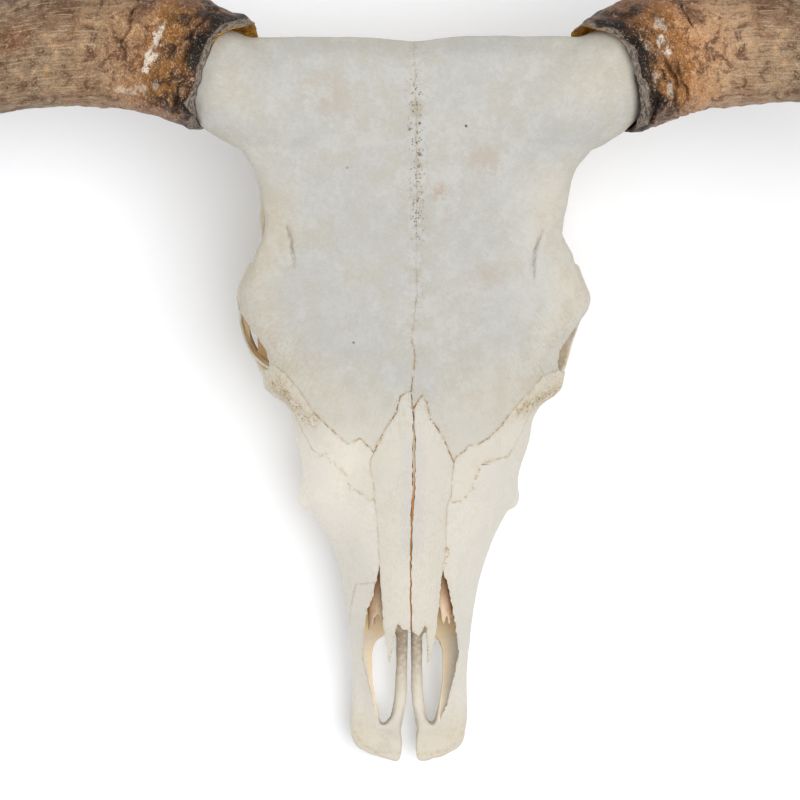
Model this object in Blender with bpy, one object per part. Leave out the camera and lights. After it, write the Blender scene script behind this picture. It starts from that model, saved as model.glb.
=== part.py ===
"""Bull skull with its horn sheaths and without the lower jaw, at life size.

It lies on its cheek teeth and on the two processes beside its occipital condyles. +X is the
skull's left-right axis, +Y points from the nose to the poll and +Z is up. Every length is in metres.
"""

import math

import bmesh
import bpy
import numpy as np
from mathutils import Euler, Matrix, Vector

# Sizes of the whole skull
NOSE_Y = -0.266
POLL_Y = 0.2265
SEAM = 0.0004
VOXEL = 0.0026
SKULL_FACES = 3380
SMOOTH_ROUNDS = 6

# Cheek teeth: length and width of each, from the first premolar to the last molar
TEETH = ((0.0165, 0.0150), (0.0175, 0.0175), (0.0180, 0.0195),
         (0.0245, 0.0220), (0.0280, 0.0235), (0.0290, 0.0225))
TEETH_FRONT = -0.117
TEETH_GAP = 0.0006
TOOTH_ROOT_Z = 0.030
TOOTH_NECK_Z = 0.020
FIRST_MOLAR = 3

# Horn sheath: wall, cavity, and how far its rim leans along the horn
SHEATH_WALL = 0.0038
SHEATH_CAVITY = 0.095
SHEATH_SIDES = 16
SHEATH_RINGS = 14
RIM_RISE = 0.020
RIM_BACK = -0.003
RIM_FADE = 0.07


def line(*knots):
    """A smooth curve of values through (place, value) knots, level beyond its ends."""
    at, value = np.array(knots, float).T
    slope = np.gradient(value, at)

    def read(place):
        place = np.clip(place, at[0], at[-1])
        i = np.clip(np.searchsorted(at, place, side="right") - 1, 0, len(at) - 2)
        width = at[i + 1] - at[i]
        t = (place - at[i]) / width
        start, end = (1 + 2 * t) * (1 - t) ** 2, t * t * (3 - 2 * t)
        leave, arrive = t * (1 - t) ** 2 * width, t * t * (t - 1) * width
        return start * value[i] + end * value[i + 1] + leave * slope[i] + arrive * slope[i + 1]

    return read


# Lines along the skull, each a value at some places y
ROOF_Z = line((-0.266, 0.030), (-0.245, 0.037), (-0.225, 0.060), (-0.19, 0.100), (-0.105, 0.1285),
              (-0.0035, 0.155), (0.057, 0.178), (0.10, 0.194), (0.15, 0.209), (0.20, 0.220),
              (0.215, 0.219), (POLL_Y, 0.208))
CHEEK_X = line((NOSE_Y, 0.012), (-0.2634, 0.022), (-0.2585, 0.0325), (-0.2493, 0.0385), (-0.24, 0.0405),
               (-0.2195, 0.0408), (-0.19, 0.0416), (-0.17, 0.0426), (-0.138, 0.0467), (-0.117, 0.0521),
               (-0.096, 0.0622), (-0.086, 0.0685), (-0.077, 0.0765), (-0.068, 0.0755), (-0.055, 0.0766),
               (-0.034, 0.082), (-0.0233, 0.083), (-0.013, 0.087), (-0.004, 0.098), (0.01, 0.105),
               (0.03, 0.111), (0.05, 0.1165), (0.075, 0.112), (0.085, 0.108))
CHEEK_Z = line((NOSE_Y, 0.026), (-0.24, 0.031), (-0.205, 0.041), (-0.17, 0.050), (-0.138, 0.058),
               (-0.117, 0.062), (-0.078, 0.072), (-0.044, 0.080), (-0.013, 0.085), (0.01, 0.084),
               (0.03, 0.080), (0.05, 0.080), (0.085, 0.084))
SHOULDER_X = line((NOSE_Y, 0.008), (-0.2585, 0.024), (-0.245, 0.030), (-0.22, 0.033), (-0.19, 0.0365),
                  (-0.17, 0.0365), (-0.138, 0.0385), (-0.117, 0.041), (-0.075, 0.055), (-0.044, 0.062),
                  (-0.02, 0.070), (0.0, 0.085), (0.0155, 0.0945), (0.027, 0.101), (0.035, 0.1065),
                  (0.051, 0.1155), (0.06, 0.118), (0.075, 0.1125), (0.085, 0.107))
SHOULDER_Z = line((NOSE_Y, 0.030), (-0.245, 0.036), (-0.22, 0.046), (-0.19, 0.060), (-0.17, 0.069),
                  (-0.138, 0.083), (-0.117, 0.092), (-0.075, 0.108), (-0.044, 0.117), (-0.02, 0.125),
                  (0.0, 0.135), (0.0155, 0.142), (0.035, 0.150), (0.06, 0.157), (0.085, 0.163))
CROWN_X = line((NOSE_Y, 0.004), (-0.2585, 0.014), (-0.22, 0.018), (-0.17, 0.0205), (-0.12, 0.0225),
               (-0.07, 0.0265), (-0.04, 0.031), (-0.01, 0.042), (0.03, 0.058), (0.085, 0.066))
CROWN_DROP = line((NOSE_Y, 0.0), (-0.22, 0.002), (-0.17, 0.006), (-0.07, 0.007), (0.03, 0.006),
                  (0.085, 0.006))
CREST_X = line((NOSE_Y, 0.011), (-0.2585, 0.0315), (-0.24, 0.0395), (-0.19, 0.0405), (-0.138, 0.0445),
               (-0.10, 0.057), (-0.08, 0.071), (-0.044, 0.0765), (-0.013, 0.081), (0.02, 0.096),
               (0.05, 0.105), (0.085, 0.102))
CREST_Z = line((NOSE_Y, 0.024), (-0.24, 0.026), (-0.19, 0.034), (-0.138, 0.045), (-0.10, 0.050),
               (-0.078, 0.060), (-0.044, 0.065), (-0.013, 0.067), (0.02, 0.065), (0.05, 0.067),
               (0.085, 0.071))
UNDER_X = line((NOSE_Y, 0.010), (-0.2585, 0.030), (-0.24, 0.038), (-0.19, 0.0385), (-0.138, 0.0415),
               (-0.10, 0.0555), (-0.08, 0.0675), (-0.044, 0.0705), (0.0, 0.0745), (0.02, 0.077),
               (0.05, 0.083), (0.085, 0.088))
UNDER_Z = line((NOSE_Y, 0.022), (-0.24, 0.023), (-0.19, 0.030), (-0.138, 0.035), (-0.10, 0.038),
               (-0.08, 0.045), (-0.044, 0.050), (0.0, 0.053), (0.02, 0.055), (0.05, 0.066),
               (0.085, 0.077))
GUM_X = line((NOSE_Y, 0.009), (-0.2585, 0.026), (-0.24, 0.034), (-0.19, 0.036), (-0.14, 0.037),
             (-0.12, 0.046), (-0.11, 0.055), (-0.08, 0.0665), (-0.04, 0.070), (0.02, 0.070),
             (0.04, 0.066), (0.085, 0.060))
GUM_Z = line((NOSE_Y, 0.021), (-0.24, 0.020), (-0.19, 0.023), (-0.14, 0.024), (-0.12, 0.024),
             (-0.08, 0.022), (0.015, 0.022), (0.032, 0.040), (0.05, 0.066), (0.085, 0.086))
GUM_INNER_X = line((NOSE_Y, 0.005), (-0.2585, 0.016), (-0.24, 0.021), (-0.19, 0.024), (-0.14, 0.027),
                   (-0.12, 0.031), (-0.08, 0.042), (0.0, 0.046), (0.02, 0.046), (0.04, 0.040),
                   (0.085, 0.034))
PALATE_Z = line((NOSE_Y, 0.021), (-0.24, 0.020), (-0.19, 0.025), (-0.17, 0.028), (-0.12, 0.032),
                (-0.08, 0.036), (0.0, 0.037), (0.02, 0.043), (0.04, 0.070), (0.085, 0.088))
BROW_X = line((0.03, 0.098), (0.051, 0.1145), (0.0576, 0.118), (0.0676, 0.117), (0.0773, 0.1119),
              (0.087, 0.1065), (0.0967, 0.102), (0.1062, 0.0998), (0.1158, 0.1009), (0.1351, 0.1035),
              (0.1446, 0.1069), (0.1541, 0.113), (0.175, 0.120), (0.205, 0.120), (POLL_Y, 0.108))
BROW_Z = line((0.03, 0.147), (0.06, 0.157), (0.09, 0.168), (0.11, 0.177), (0.15, 0.194), (0.20, 0.202),
              (POLL_Y, 0.196))
PLATE_DEPTH = line((0.03, 0.052), (0.19, 0.052), (POLL_Y, 0.030))
BRAIN_X = line((0.03, 0.036), (0.06, 0.044), (0.09, 0.053), (0.13, 0.060), (0.16, 0.064), (0.185, 0.060))
BRAIN_LOW = line((0.03, 0.080), (0.06, 0.072), (0.09, 0.062), (0.13, 0.056), (0.185, 0.052))
BRAIN_TOP = line((0.03, 0.150), (0.09, 0.178), (0.185, 0.196))

# Lines up the back of the skull, each a value at some heights z
NAPE_X = line((0.052, 0.040), (0.065, 0.066), (0.080, 0.092), (0.100, 0.104), (0.120, 0.102),
              (0.140, 0.088), (0.160, 0.080), (0.180, 0.092), (0.200, 0.106))
NAPE_BACK = line((0.052, 0.188), (0.080, 0.186), (0.110, 0.186), (0.135, 0.194), (0.155, 0.205),
                 (0.175, 0.214), (0.200, 0.223))
NAPE_EDGE = line((0.052, 0.176), (0.080, 0.168), (0.110, 0.166), (0.150, 0.176), (0.200, 0.195))
NAPE_FRONT = line((0.052, 0.160), (0.080, 0.142), (0.110, 0.146), (0.150, 0.158), (0.200, 0.170))

# Horn axis, the sheath's radius by distance from its rim, and the bony neck and core inside it
HORN_AXIS = ((0.127, 0.2030, 0.187), (0.148, 0.2095, 0.187), (0.190, 0.2200, 0.189),
             (0.225, 0.2235, 0.191), (0.265, 0.2235, 0.196), (0.330, 0.2180, 0.212),
             (0.390, 0.2120, 0.239), (0.450, 0.2110, 0.279), (0.495, 0.2160, 0.322),
             (0.528, 0.2260, 0.372))
SHEATH_RADIUS = line((0.0, 0.0410), (0.06, 0.0392), (0.12, 0.0376), (0.20, 0.0335), (0.30, 0.0270),
                     (0.38, 0.0195), (0.44, 0.0110), (0.480, 0.0030))
CORE_AXIS = ((0.060, 0.1860, 0.1820), (0.100, 0.1890, 0.1855), (0.118, 0.1954, 0.1870),
             (0.138, 0.2064, 0.1880), (0.163, 0.2125, 0.1880), (0.188, 0.2185, 0.1890),
             (0.210, 0.2215, 0.1900))
CORE_WIDE = (0.042, 0.038, 0.0346, 0.0305, 0.0285, 0.0255, 0.0150)
CORE_HIGH = (0.030, 0.031, 0.0315, 0.0305, 0.0290, 0.0260, 0.0150)

# Outlines in plan of one side, as (x, y); every bone's own edge follows its sutures
NASAL_EDGE = ((0.0, -0.0030), (0.0050, -0.0045), (0.0090, -0.0100), (0.0115, -0.0200), (0.0180, -0.0300),
              (0.0265, -0.0480), (0.0285, -0.0540), (0.0265, -0.0660), (0.0255, -0.0770),
              (0.0238, -0.0860), (0.0232, -0.1050), (0.0222, -0.1220))
NASAL_TIP = ((0.0212, -0.1360), (0.0182, -0.1680), (0.0148, -0.1890), (0.0132, -0.1905),
             (0.0118, -0.1740), (0.0095, -0.1630), (0.0062, -0.1680), (0.0, -0.1680))
APERTURE_EDGE = ((0.0252, -0.1360), (0.0275, -0.1460), (0.0308, -0.1560), (0.0325, -0.1700),
                 (0.0337, -0.1850), (0.0306, -0.2020), (0.0282, -0.2130), (0.0250, -0.2290),
                 (0.0195, -0.2400), (0.0130, -0.2340), (0.0100, -0.2300), (0.0, -0.2300))
LACRIMAL_EDGE = ((0.1000, 0.0120), (0.0915, 0.0100), (0.0790, -0.0027), (0.0665, -0.0185),
                 (0.0595, -0.0265), (0.0510, -0.0346), (0.0430, -0.0390), (0.0365, -0.0370),
                 (0.0265, -0.0480), (0.0285, -0.0540), (0.0265, -0.0660), (0.0255, -0.0775),
                 (0.0360, -0.0725), (0.0425, -0.0680), (0.0455, -0.0600), (0.0510, -0.0540),
                 (0.0600, -0.0490), (0.0680, -0.0440), (0.0790, -0.0230), (0.0900, -0.0060),
                 (0.1060, 0.0010))
NOSE_WING = ((0.0100, -0.1750), (0.0432, -0.1750), (0.0432, -0.1690), (0.0414, -0.1533), (0.0380, -0.1372),
             (0.0230, -0.1330), (0.0100, -0.1310))
NOSE_WING_Z = 0.048
NOSE_FRONT = ((-0.0200, -0.3000), (0.0800, -0.3000), (0.0800, -0.1700), (0.0432, -0.1700),
              (0.0300, -0.1735), (0.0150, -0.1710), (-0.0200, -0.1680))
FISSURE = ((0.0, -0.1720), (0.0150, -0.1730), (0.0235, -0.1790), (0.0268, -0.1880), (0.0264, -0.2060),
           (0.0240, -0.2230), (0.0197, -0.2412), (0.0130, -0.2340), (0.0100, -0.2290), (0.0, -0.2290))
NOSE_GAP = ((0.0, -0.1500), (0.0011, -0.1700), (0.0024, -0.2220), (0.0056, -0.2340), (0.0058, -0.2430),
            (0.0046, -0.2540), (0.0052, -0.2620), (0.0120, -0.2760), (0.0, -0.2760))

APERTURE_LOW_Z = 0.0445


def clear_scene():
    for old in list(bpy.data.objects):
        bpy.data.objects.remove(old, do_unlink=True)


def add_object(name, mesh):
    piece = bpy.data.objects.new(name, mesh)
    bpy.context.scene.collection.objects.link(piece)
    return piece


def object_from(name, shape):
    """Puts a bmesh in a new object, with its faces turned outward."""
    bmesh.ops.recalc_face_normals(shape, faces=shape.faces)
    mesh = bpy.data.meshes.new(name)
    shape.to_mesh(mesh)
    shape.free()
    return add_object(name, mesh)


def skin(name, rings):
    """A closed body through rings of points, each ring capped only at the two ends."""
    shape = bmesh.new()
    loops = [[shape.verts.new(point) for point in ring] for ring in rings]
    for near, far in zip(loops, loops[1:]):
        for i in range(len(near)):
            shape.faces.new((near[i - 1], near[i], far[i], far[i - 1]))
    shape.faces.new(loops[0])
    shape.faces.new(reversed(loops[-1]))
    return object_from(name, shape)


def round_outline(keys, steps=3):
    """A smooth closed ring through half an outline, from its top middle to its bottom middle."""
    half = [Vector(key) for key in keys]
    full = half + [Vector((-key.x, key.y)) for key in reversed(half[1:-1])]
    points = []
    for i, start in enumerate(full):
        end = full[(i + 1) % len(full)]
        before, after = full[i - 1], full[(i + 2) % len(full)]
        reach = (end - start).length
        leave = (end - before).normalized() * reach
        arrive = (after - start).normalized() * reach
        for step in range(steps):
            t = step / steps
            points.append(start * (1 + 2 * t) * (1 - t) ** 2 + end * t * t * (3 - 2 * t)
                          + leave * t * (1 - t) ** 2 + arrive * t * t * (t - 1))
    return points


def loft_along_y(name, places, keys_at):
    return skin(name, [[(p.x, y, p.y) for p in round_outline(keys_at(y))] for y in places])


def spline(path, count):
    """Evenly spaced points on a smooth curve through the path's points, and the curve's length."""
    path = np.array(path, float)
    along = np.concatenate([[0], np.cumsum(np.linalg.norm(np.diff(path, axis=0), axis=1))])
    places = np.linspace(0, along[-1], count)
    return np.column_stack([line(*zip(along, axis))(places) for axis in path.T]), along[-1]


def tube(name, path, widths, heights, sides=12, rings=12, up=(0, 0, 1)):
    """A tapering bar of oval section along a path; widths and heights are half sizes."""
    centres, length = spline(path, rings)
    wide = line(*zip(np.linspace(0, length, len(widths)), widths))
    high = line(*zip(np.linspace(0, length, len(heights)), heights))
    forward = np.gradient(centres, axis=0)
    loops = []
    for i, centre in enumerate(centres):
        ahead = Vector(forward[i]).normalized()
        across = ahead.cross(Vector(up)).normalized()
        over = across.cross(ahead)
        place = length * i / (rings - 1)
        loops.append([Vector(centre) + across * (wide(place) * math.cos(turn))
                      + over * (high(place) * math.sin(turn))
                      for turn in np.linspace(0, 2 * math.pi, sides, endpoint=False)])
    return skin(name, loops)


def ellipsoid(name, centre, radii, turn=(0, 0, 0)):
    shape = bmesh.new()
    place = Matrix.Translation(centre) @ Euler([math.radians(a) for a in turn]).to_matrix().to_4x4()
    bmesh.ops.create_icosphere(shape, subdivisions=3, radius=1, matrix=place @ Matrix.Diagonal((*radii, 1)))
    return object_from(name, shape)


def prism(name, outline, low, high):
    """An upright body over an outline in plan."""
    return skin(name, [[(x, y, z) for x, y in outline] for z in (low, high)])


def mirrored(piece, name):
    """The same body on the other side of the skull."""
    mesh = piece.data.copy()
    mesh.transform(Matrix.Diagonal((-1, 1, 1, 1)))
    mesh.flip_normals()
    return add_object(name, mesh)


def both_sides(makers):
    pieces = []
    for number, maker in enumerate(makers):
        piece = maker()
        pieces += [piece, mirrored(piece, f"{piece.name}_other_{number}")]
    return pieces


def settle(piece):
    """Replaces an object's mesh by what its modifiers make of it."""
    graph = bpy.context.evaluated_depsgraph_get()
    mesh = bpy.data.meshes.new_from_object(piece.evaluated_get(graph))
    piece.modifiers.clear()
    piece.data = mesh


def join(pieces, name):
    shape = bmesh.new()
    for piece in pieces:
        shape.from_mesh(piece.data)
        bpy.data.objects.remove(piece, do_unlink=True)
    mesh = bpy.data.meshes.new(name)
    shape.to_mesh(mesh)
    shape.free()
    return add_object(name, mesh)


def fuse(pieces, name):
    """One even skin around all the pieces, softened where they meet."""
    whole = join(pieces, name)
    remesh = whole.modifiers.new("one skin", "REMESH")
    remesh.mode = "VOXEL"
    remesh.voxel_size = VOXEL
    soft = whole.modifiers.new("soft", "SMOOTH")
    soft.factor = 0.5
    soft.iterations = SMOOTH_ROUNDS
    settle(whole)
    return whole


def combine(piece, other, operation):
    """Boolean of two bodies; the second one is used up."""
    cut = piece.modifiers.new("combine", "BOOLEAN")
    cut.operation = operation
    cut.solver = "EXACT"
    cut.object = other
    settle(piece)
    bpy.data.objects.remove(other, do_unlink=True)


def face_keys(y):
    """Half the outline of the face, from the roof's middle round the cheek to the palate's middle."""
    gum, palate = GUM_Z(y), PALATE_Z(y)
    return ((0, ROOF_Z(y)), (CROWN_X(y), ROOF_Z(y) - CROWN_DROP(y)), (SHOULDER_X(y), SHOULDER_Z(y)),
            (CHEEK_X(y), CHEEK_Z(y)), (CREST_X(y), CREST_Z(y)), (UNDER_X(y), UNDER_Z(y)),
            (GUM_X(y), gum), (GUM_INNER_X(y), gum + 0.001), (GUM_INNER_X(y) - 0.006, palate), (0, palate))


def forehead_keys(y):
    roof, brow_x, brow_z = ROOF_Z(y), BROW_X(y), BROW_Z(y)
    depth = PLATE_DEPTH(y)
    return ((0, roof), (0.062, roof - 0.006), (brow_x - 0.006, brow_z + 0.004), (brow_x, brow_z - 0.004),
            (brow_x - 0.007, brow_z - 0.014), (0.070, roof - 0.8 * depth), (0, roof - depth))


def brain_keys(y):
    wide, low, top = BRAIN_X(y), BRAIN_LOW(y), BRAIN_TOP(y)
    tall = top - low
    return ((0, top), (wide * 0.8, top - 0.1 * tall), (wide, top - 0.45 * tall),
            (wide * 0.82, low + 0.2 * tall), (wide * 0.38, low), (0, low))


def nape_ring(z):
    """The outline in plan of the back of the skull at one height."""
    wide, back, edge, front = NAPE_X(z), NAPE_BACK(z), NAPE_EDGE(z), NAPE_FRONT(z)
    keys = ((0, back), (wide * 0.55, back - 0.003), (wide, edge), (wide * 0.9, front), (0, front))
    return [(p.x, p.y, z) for p in round_outline(keys)]


def cavity_keys(y):
    wide = line((-0.25, 0.018), (-0.20, 0.026), (-0.17, 0.030), (-0.10, 0.034), (-0.05, 0.036), (0.0, 0.032),
                (0.035, 0.018))(y)
    floor = line((-0.25, 0.036), (-0.17, 0.043), (-0.10, 0.046), (0.0, 0.048), (0.035, 0.075))(y)
    ceiling = line((-0.25, 0.06), (-0.19, 0.0935), (-0.17, 0.1000), (-0.105, 0.1225), (-0.05, 0.136),
                   (0.0, 0.142), (0.035, 0.130))(y)
    return ((0, ceiling), (0.0185, ceiling - 0.007), (wide, (floor + ceiling) / 2),
            (wide * 0.9, floor + 0.006), (0, floor))


def throat_keys(y):
    roof = line((-0.01, 0.060), (0.02, 0.074), (0.06, 0.070), (0.10, 0.056))(y)
    wide = line((-0.01, 0.013), (0.02, 0.019), (0.06, 0.0175), (0.10, 0.014))(y)
    return ((0, roof), (wide * 0.8, roof - 0.004), (wide, roof - 0.02), (wide, 0.0), (0, -0.005))


def side_pieces():
    """The bodies that stand on each side of the skull."""
    return (
        lambda: tube("horn_core", CORE_AXIS, CORE_WIDE, CORE_HIGH, sides=20),
        lambda: tube("arch", ((0.104, 0.040, 0.075), (0.1065, 0.070, 0.078), (0.104, 0.095, 0.086),
                              (0.096, 0.120, 0.094), (0.078, 0.146, 0.098)),
                     (0.006, 0.005, 0.0055, 0.008, 0.012), (0.012, 0.010, 0.011, 0.012, 0.013)),
        lambda: ellipsoid("joint_shelf", (0.078, 0.116, 0.090), (0.028, 0.017, 0.010)),
        lambda: tube("ear", ((0.045, 0.146, 0.086), (0.075, 0.150, 0.086), (0.098, 0.151, 0.090)),
                     (0.018, 0.013, 0.009), (0.018, 0.013, 0.009)),
        lambda: ellipsoid("condyle", (0.0295, 0.192, 0.066), (0.019, 0.020, 0.028), (-20, 0, -12)),
        lambda: tube("jugular", ((0.060, 0.172, 0.095), (0.064, 0.175, 0.055), (0.061, 0.171, 0.020),
                                 (0.056, 0.166, -0.006)),
                     (0.011, 0.0095, 0.0075, 0.006), (0.016, 0.014, 0.010, 0.007), up=(0, 1, 0)),
        lambda: ellipsoid("bulla", (0.046, 0.134, 0.052), (0.011, 0.019, 0.021)),
        lambda: tube("bulla_spike", ((0.046, 0.134, 0.046), (0.047, 0.122, 0.034), (0.048, 0.112, 0.024)),
                     (0.009, 0.006, 0.003), (0.009, 0.006, 0.003)),
        lambda: tube("base_knob", ((0.012, 0.105, 0.062), (0.014, 0.118, 0.056), (0.012, 0.130, 0.060)),
                     (0.006, 0.008, 0.006), (0.006, 0.007, 0.006)),
        lambda: tube("wing_plate", ((0.026, 0.000, 0.052), (0.0235, 0.030, 0.055), (0.022, 0.060, 0.058),
                                    (0.021, 0.088, 0.060)),
                     (0.005, 0.0035, 0.0035, 0.0035), (0.014, 0.022, 0.022, 0.014)),
        lambda: tube("wing_hook", ((0.022, 0.074, 0.050), (0.022, 0.084, 0.036), (0.023, 0.092, 0.028)),
                     (0.003, 0.003, 0.0025), (0.006, 0.005, 0.003)),
        lambda: tube("base_wall", ((0.030, 0.050, 0.085), (0.034, 0.085, 0.078), (0.036, 0.115, 0.074)),
                     (0.012, 0.014, 0.012), (0.016, 0.014, 0.012)),
        lambda: ellipsoid("cheek_knob", (0.0715, -0.0765, 0.071), (0.0065, 0.009, 0.007)),
    )


def solid_skull():
    """The skull's outer form before anything is hollowed out."""
    places = (*np.linspace(NOSE_Y, -0.245, 6), *np.linspace(-0.235, 0.083, 44))
    face = loft_along_y("face", places, face_keys)
    forehead = loft_along_y("forehead", np.linspace(0.03, POLL_Y, 28), forehead_keys)
    brain = loft_along_y("brain", np.linspace(0.03, 0.185, 16), brain_keys)
    nape = skin("nape", [nape_ring(z) for z in np.linspace(0.052, 0.20, 16)])
    knob = ellipsoid("nape_knob", (0, 0.196, 0.158), (0.014, 0.012, 0.014))
    ridge = tube("nape_ridge", ((-0.108, 0.190, 0.178), (-0.055, 0.202, 0.181), (0, 0.204, 0.182),
                                (0.055, 0.202, 0.181), (0.108, 0.190, 0.178)),
                 (0.018, 0.019, 0.020, 0.019, 0.018), (0.024, 0.027, 0.028, 0.027, 0.024), sides=16)
    base = tube("base", ((0, 0.05, 0.086), (0, 0.10, 0.070), (0, 0.14, 0.063), (0, 0.190, 0.062)),
                (0.022, 0.019, 0.020, 0.030), (0.012, 0.011, 0.010, 0.012))
    return fuse([face, forehead, brain, nape, knob, ridge, base, *both_sides(side_pieces())], "skull")


def hollow_pieces():
    """The bodies that are cut away on each side."""
    return (
        lambda: ellipsoid("orbit", (0.097, 0.036, 0.117), (0.050, 0.0315, 0.0300), (0, -6, -16)),
        lambda: ellipsoid("orbit_back", (0.075, 0.076, 0.116), (0.018, 0.034, 0.026), (0, 0, 12)),
        lambda: ellipsoid("orbit_low", (0.076, 0.076, 0.070), (0.020, 0.036, 0.034), (0, 0, 6)),
        lambda: ellipsoid("temple", (0.103, 0.126, 0.134), (0.041, 0.048, 0.029)),
        lambda: ellipsoid("bar_back", (0.112, 0.0975, 0.122), (0.034, 0.0195, 0.033)),
        lambda: ellipsoid("ear_hole", (0.104, 0.1515, 0.091), (0.016, 0.0042, 0.0042)),
    )


def hollows():
    cavity = loft_along_y("cavity", np.linspace(-0.25, 0.035, 20), cavity_keys)
    throat = loft_along_y("throat", np.linspace(-0.01, 0.10, 10), throat_keys)
    spine = ellipsoid("spine_hole", (0, 0.180, 0.083), (0.019, 0.048, 0.0175), (-6, 0, 0))
    fissure = prism("fissure", [*FISSURE, *((-x, y) for x, y in reversed(FISSURE[1:-1]))], -0.02, 0.058)
    gap = prism("nose_gap", [*NOSE_GAP, *((-x, y) for x, y in reversed(NOSE_GAP[1:-1]))], -0.02, 0.058)
    return [cavity, throat, spine, fissure, gap, *both_sides(hollow_pieces())]


def palate_rods():
    """The two thin rods that run back from the nose tip beside the midline."""
    return both_sides([lambda: tube("rod", ((0.0098, -0.240, 0.030), (0.0072, -0.222, 0.034),
                                            (0.0062, -0.190, 0.037), (0.0068, -0.150, 0.040)),
                                    (0.0048, 0.0044, 0.0042, 0.0046), (0.006, 0.0042, 0.0040, 0.0050))])


def other_side(outline):
    return [(-x, y) for x, y in reversed(outline)]


def whole_skull():
    skull = solid_skull()
    for hollow in hollows():
        combine(skull, hollow, "DIFFERENCE")
    skull = fuse([skull, *palate_rods()], "skull")
    floor = prism("floor", ((-0.2, -0.4), (0.2, -0.4), (0.2, 0.4), (-0.2, 0.4)), -0.1, 0.0)
    thin = skull.modifiers.new("fewer faces", "DECIMATE")
    thin.ratio = SKULL_FACES / len(skull.data.polygons) / 2
    settle(skull)
    nasal_side = [NASAL_EDGE[-1], *NASAL_TIP]
    around = [*nasal_side, *other_side(nasal_side)[1:], *((-x, y) for x, y in APERTURE_EDGE),
              *APERTURE_EDGE[-2::-1]]
    opening = prism("aperture", around, APERTURE_LOW_Z, 0.14)
    for cutter in (floor, opening):
        combine(skull, cutter, "DIFFERENCE")
    return skull


def grown(outline, by):
    """A counter-clockwise outline moved outward; each corner moves along the mean of its two normals."""
    moved = []
    for i, here in enumerate(outline):
        before, after = outline[i - 1], outline[(i + 1) % len(outline)]
        sides = [Vector(b) - Vector(a) for a, b in ((before, here), (here, after))]
        normals = [Vector((side.y, -side.x)).normalized() for side in sides]
        out = (normals[0] + normals[1]).normalized()
        moved.append(tuple(Vector(here) + out * by))
    return moved


def upright(outline, low, high):
    """A region of the skull over an outline in plan, given as a maker that can grow it on all sides."""
    return lambda by: prism("region", grown(outline, by), low - by, high + by)


def crosswise(outline):
    """A region of the skull over an outline of (y, z) points seen from the side."""
    def maker(by):
        points = grown(outline, by)
        return skin("region", [[(x, y, z) for y, z in points] for x in (-0.3, 0.3)])
    return maker


def lengthwise(outline, front, back):
    """A region of the skull over an outline of (x, z) points seen from the front."""
    def maker(by):
        points = grown(outline, by)
        return skin("region", [[(x, y, z) for x, z in points] for y in (front - by, back + by)])
    return maker


def main_body(piece):
    """Keeps the largest of an object's separate bodies."""
    shape = bmesh.new()
    shape.from_mesh(piece.data)
    left = set(shape.verts)
    bodies = []
    while left:
        front = [left.pop()]
        body = set(front)
        while front:
            for edge in front.pop().link_edges:
                for vert in edge.verts:
                    if vert in left:
                        left.remove(vert)
                        body.add(vert)
                        front.append(vert)
        bodies.append(body)
    bodies.sort(key=len)
    bmesh.ops.delete(shape, geom=[vert for body in bodies[:-1] for vert in body], context="VERTS")
    shape.to_mesh(piece.data)
    shape.free()


def take(rest, name, region):
    """Parts a bone from the rest of the skull along the edge of its region."""
    bone = add_object(name, rest.data.copy())
    combine(bone, region(-SEAM / 2), "INTERSECT")
    main_body(bone)
    combine(rest, region(SEAM / 2), "DIFFERENCE")
    return bone


def tooth_outline(length, width, lobes):
    """Half waves on the cheek side and tongue side of a tooth, one for each lobe."""
    points = []
    for side in (1, -1):
        for step in range(3 * lobes + 1):
            along = step / (3 * lobes)
            bulge = 0.82 + 0.18 * abs(math.sin(math.pi * along * lobes))
            if lobes > 1 and step in (0, 3 * lobes):
                bulge = 0.74
            points.append((side * width / 2 * bulge, side * length * (along - 0.5)))
    return points


def tooth(name, centre, length, width, lobes):
    outline = tooth_outline(length, width, lobes)
    heights = ((TOOTH_ROOT_Z, 0.92), (TOOTH_NECK_Z, 1.0), (0.0, 0.96))
    return skin(name, [[(centre[0] + x * size, centre[1] + y * size, z) for x, y in outline]
                       for z, size in heights])


def teeth():
    """One side's six cheek teeth, in a slightly bowed row."""
    row = line((-0.117, 0.0450), (-0.100, 0.0495), (-0.075, 0.0545), (-0.040, 0.0580), (0.020, 0.0582))
    front = TEETH_FRONT
    made = []
    for number, (length, width) in enumerate(TEETH):
        middle = front + length / 2
        lobes = 2 if number >= FIRST_MOLAR else 1
        made.append(tooth(f"tooth_{number}", (float(row(middle)), middle), length - TEETH_GAP, width, lobes))
        front += length
    return made


def sheath_ring(distance, radius, lean):
    """A ring round the horn's axis, leaning along it so that its top lies further out than its back."""
    at, _ = spline(HORN_AXIS, 200)
    along = np.concatenate([[0], np.cumsum(np.linalg.norm(np.diff(at, axis=0), axis=1))])
    centre = Vector([np.interp(distance, along, axis) for axis in at.T])
    ahead = Vector([np.interp(min(distance + 0.002, along[-1]), along, axis) for axis in at.T])
    behind = Vector([np.interp(max(distance - 0.002, 0), along, axis) for axis in at.T])
    forward = (ahead - behind).normalized()
    back = Vector((0, 0, 1)).cross(forward).normalized()
    over = forward.cross(back)
    ring = []
    for turn in np.linspace(0, 2 * math.pi, SHEATH_SIDES, endpoint=False):
        side, rise = math.cos(turn), math.sin(turn)
        offset = forward * lean * (RIM_RISE * rise + RIM_BACK * side)
        ring.append(centre + offset + (back * side + over * rise) * radius)
    return ring


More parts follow.
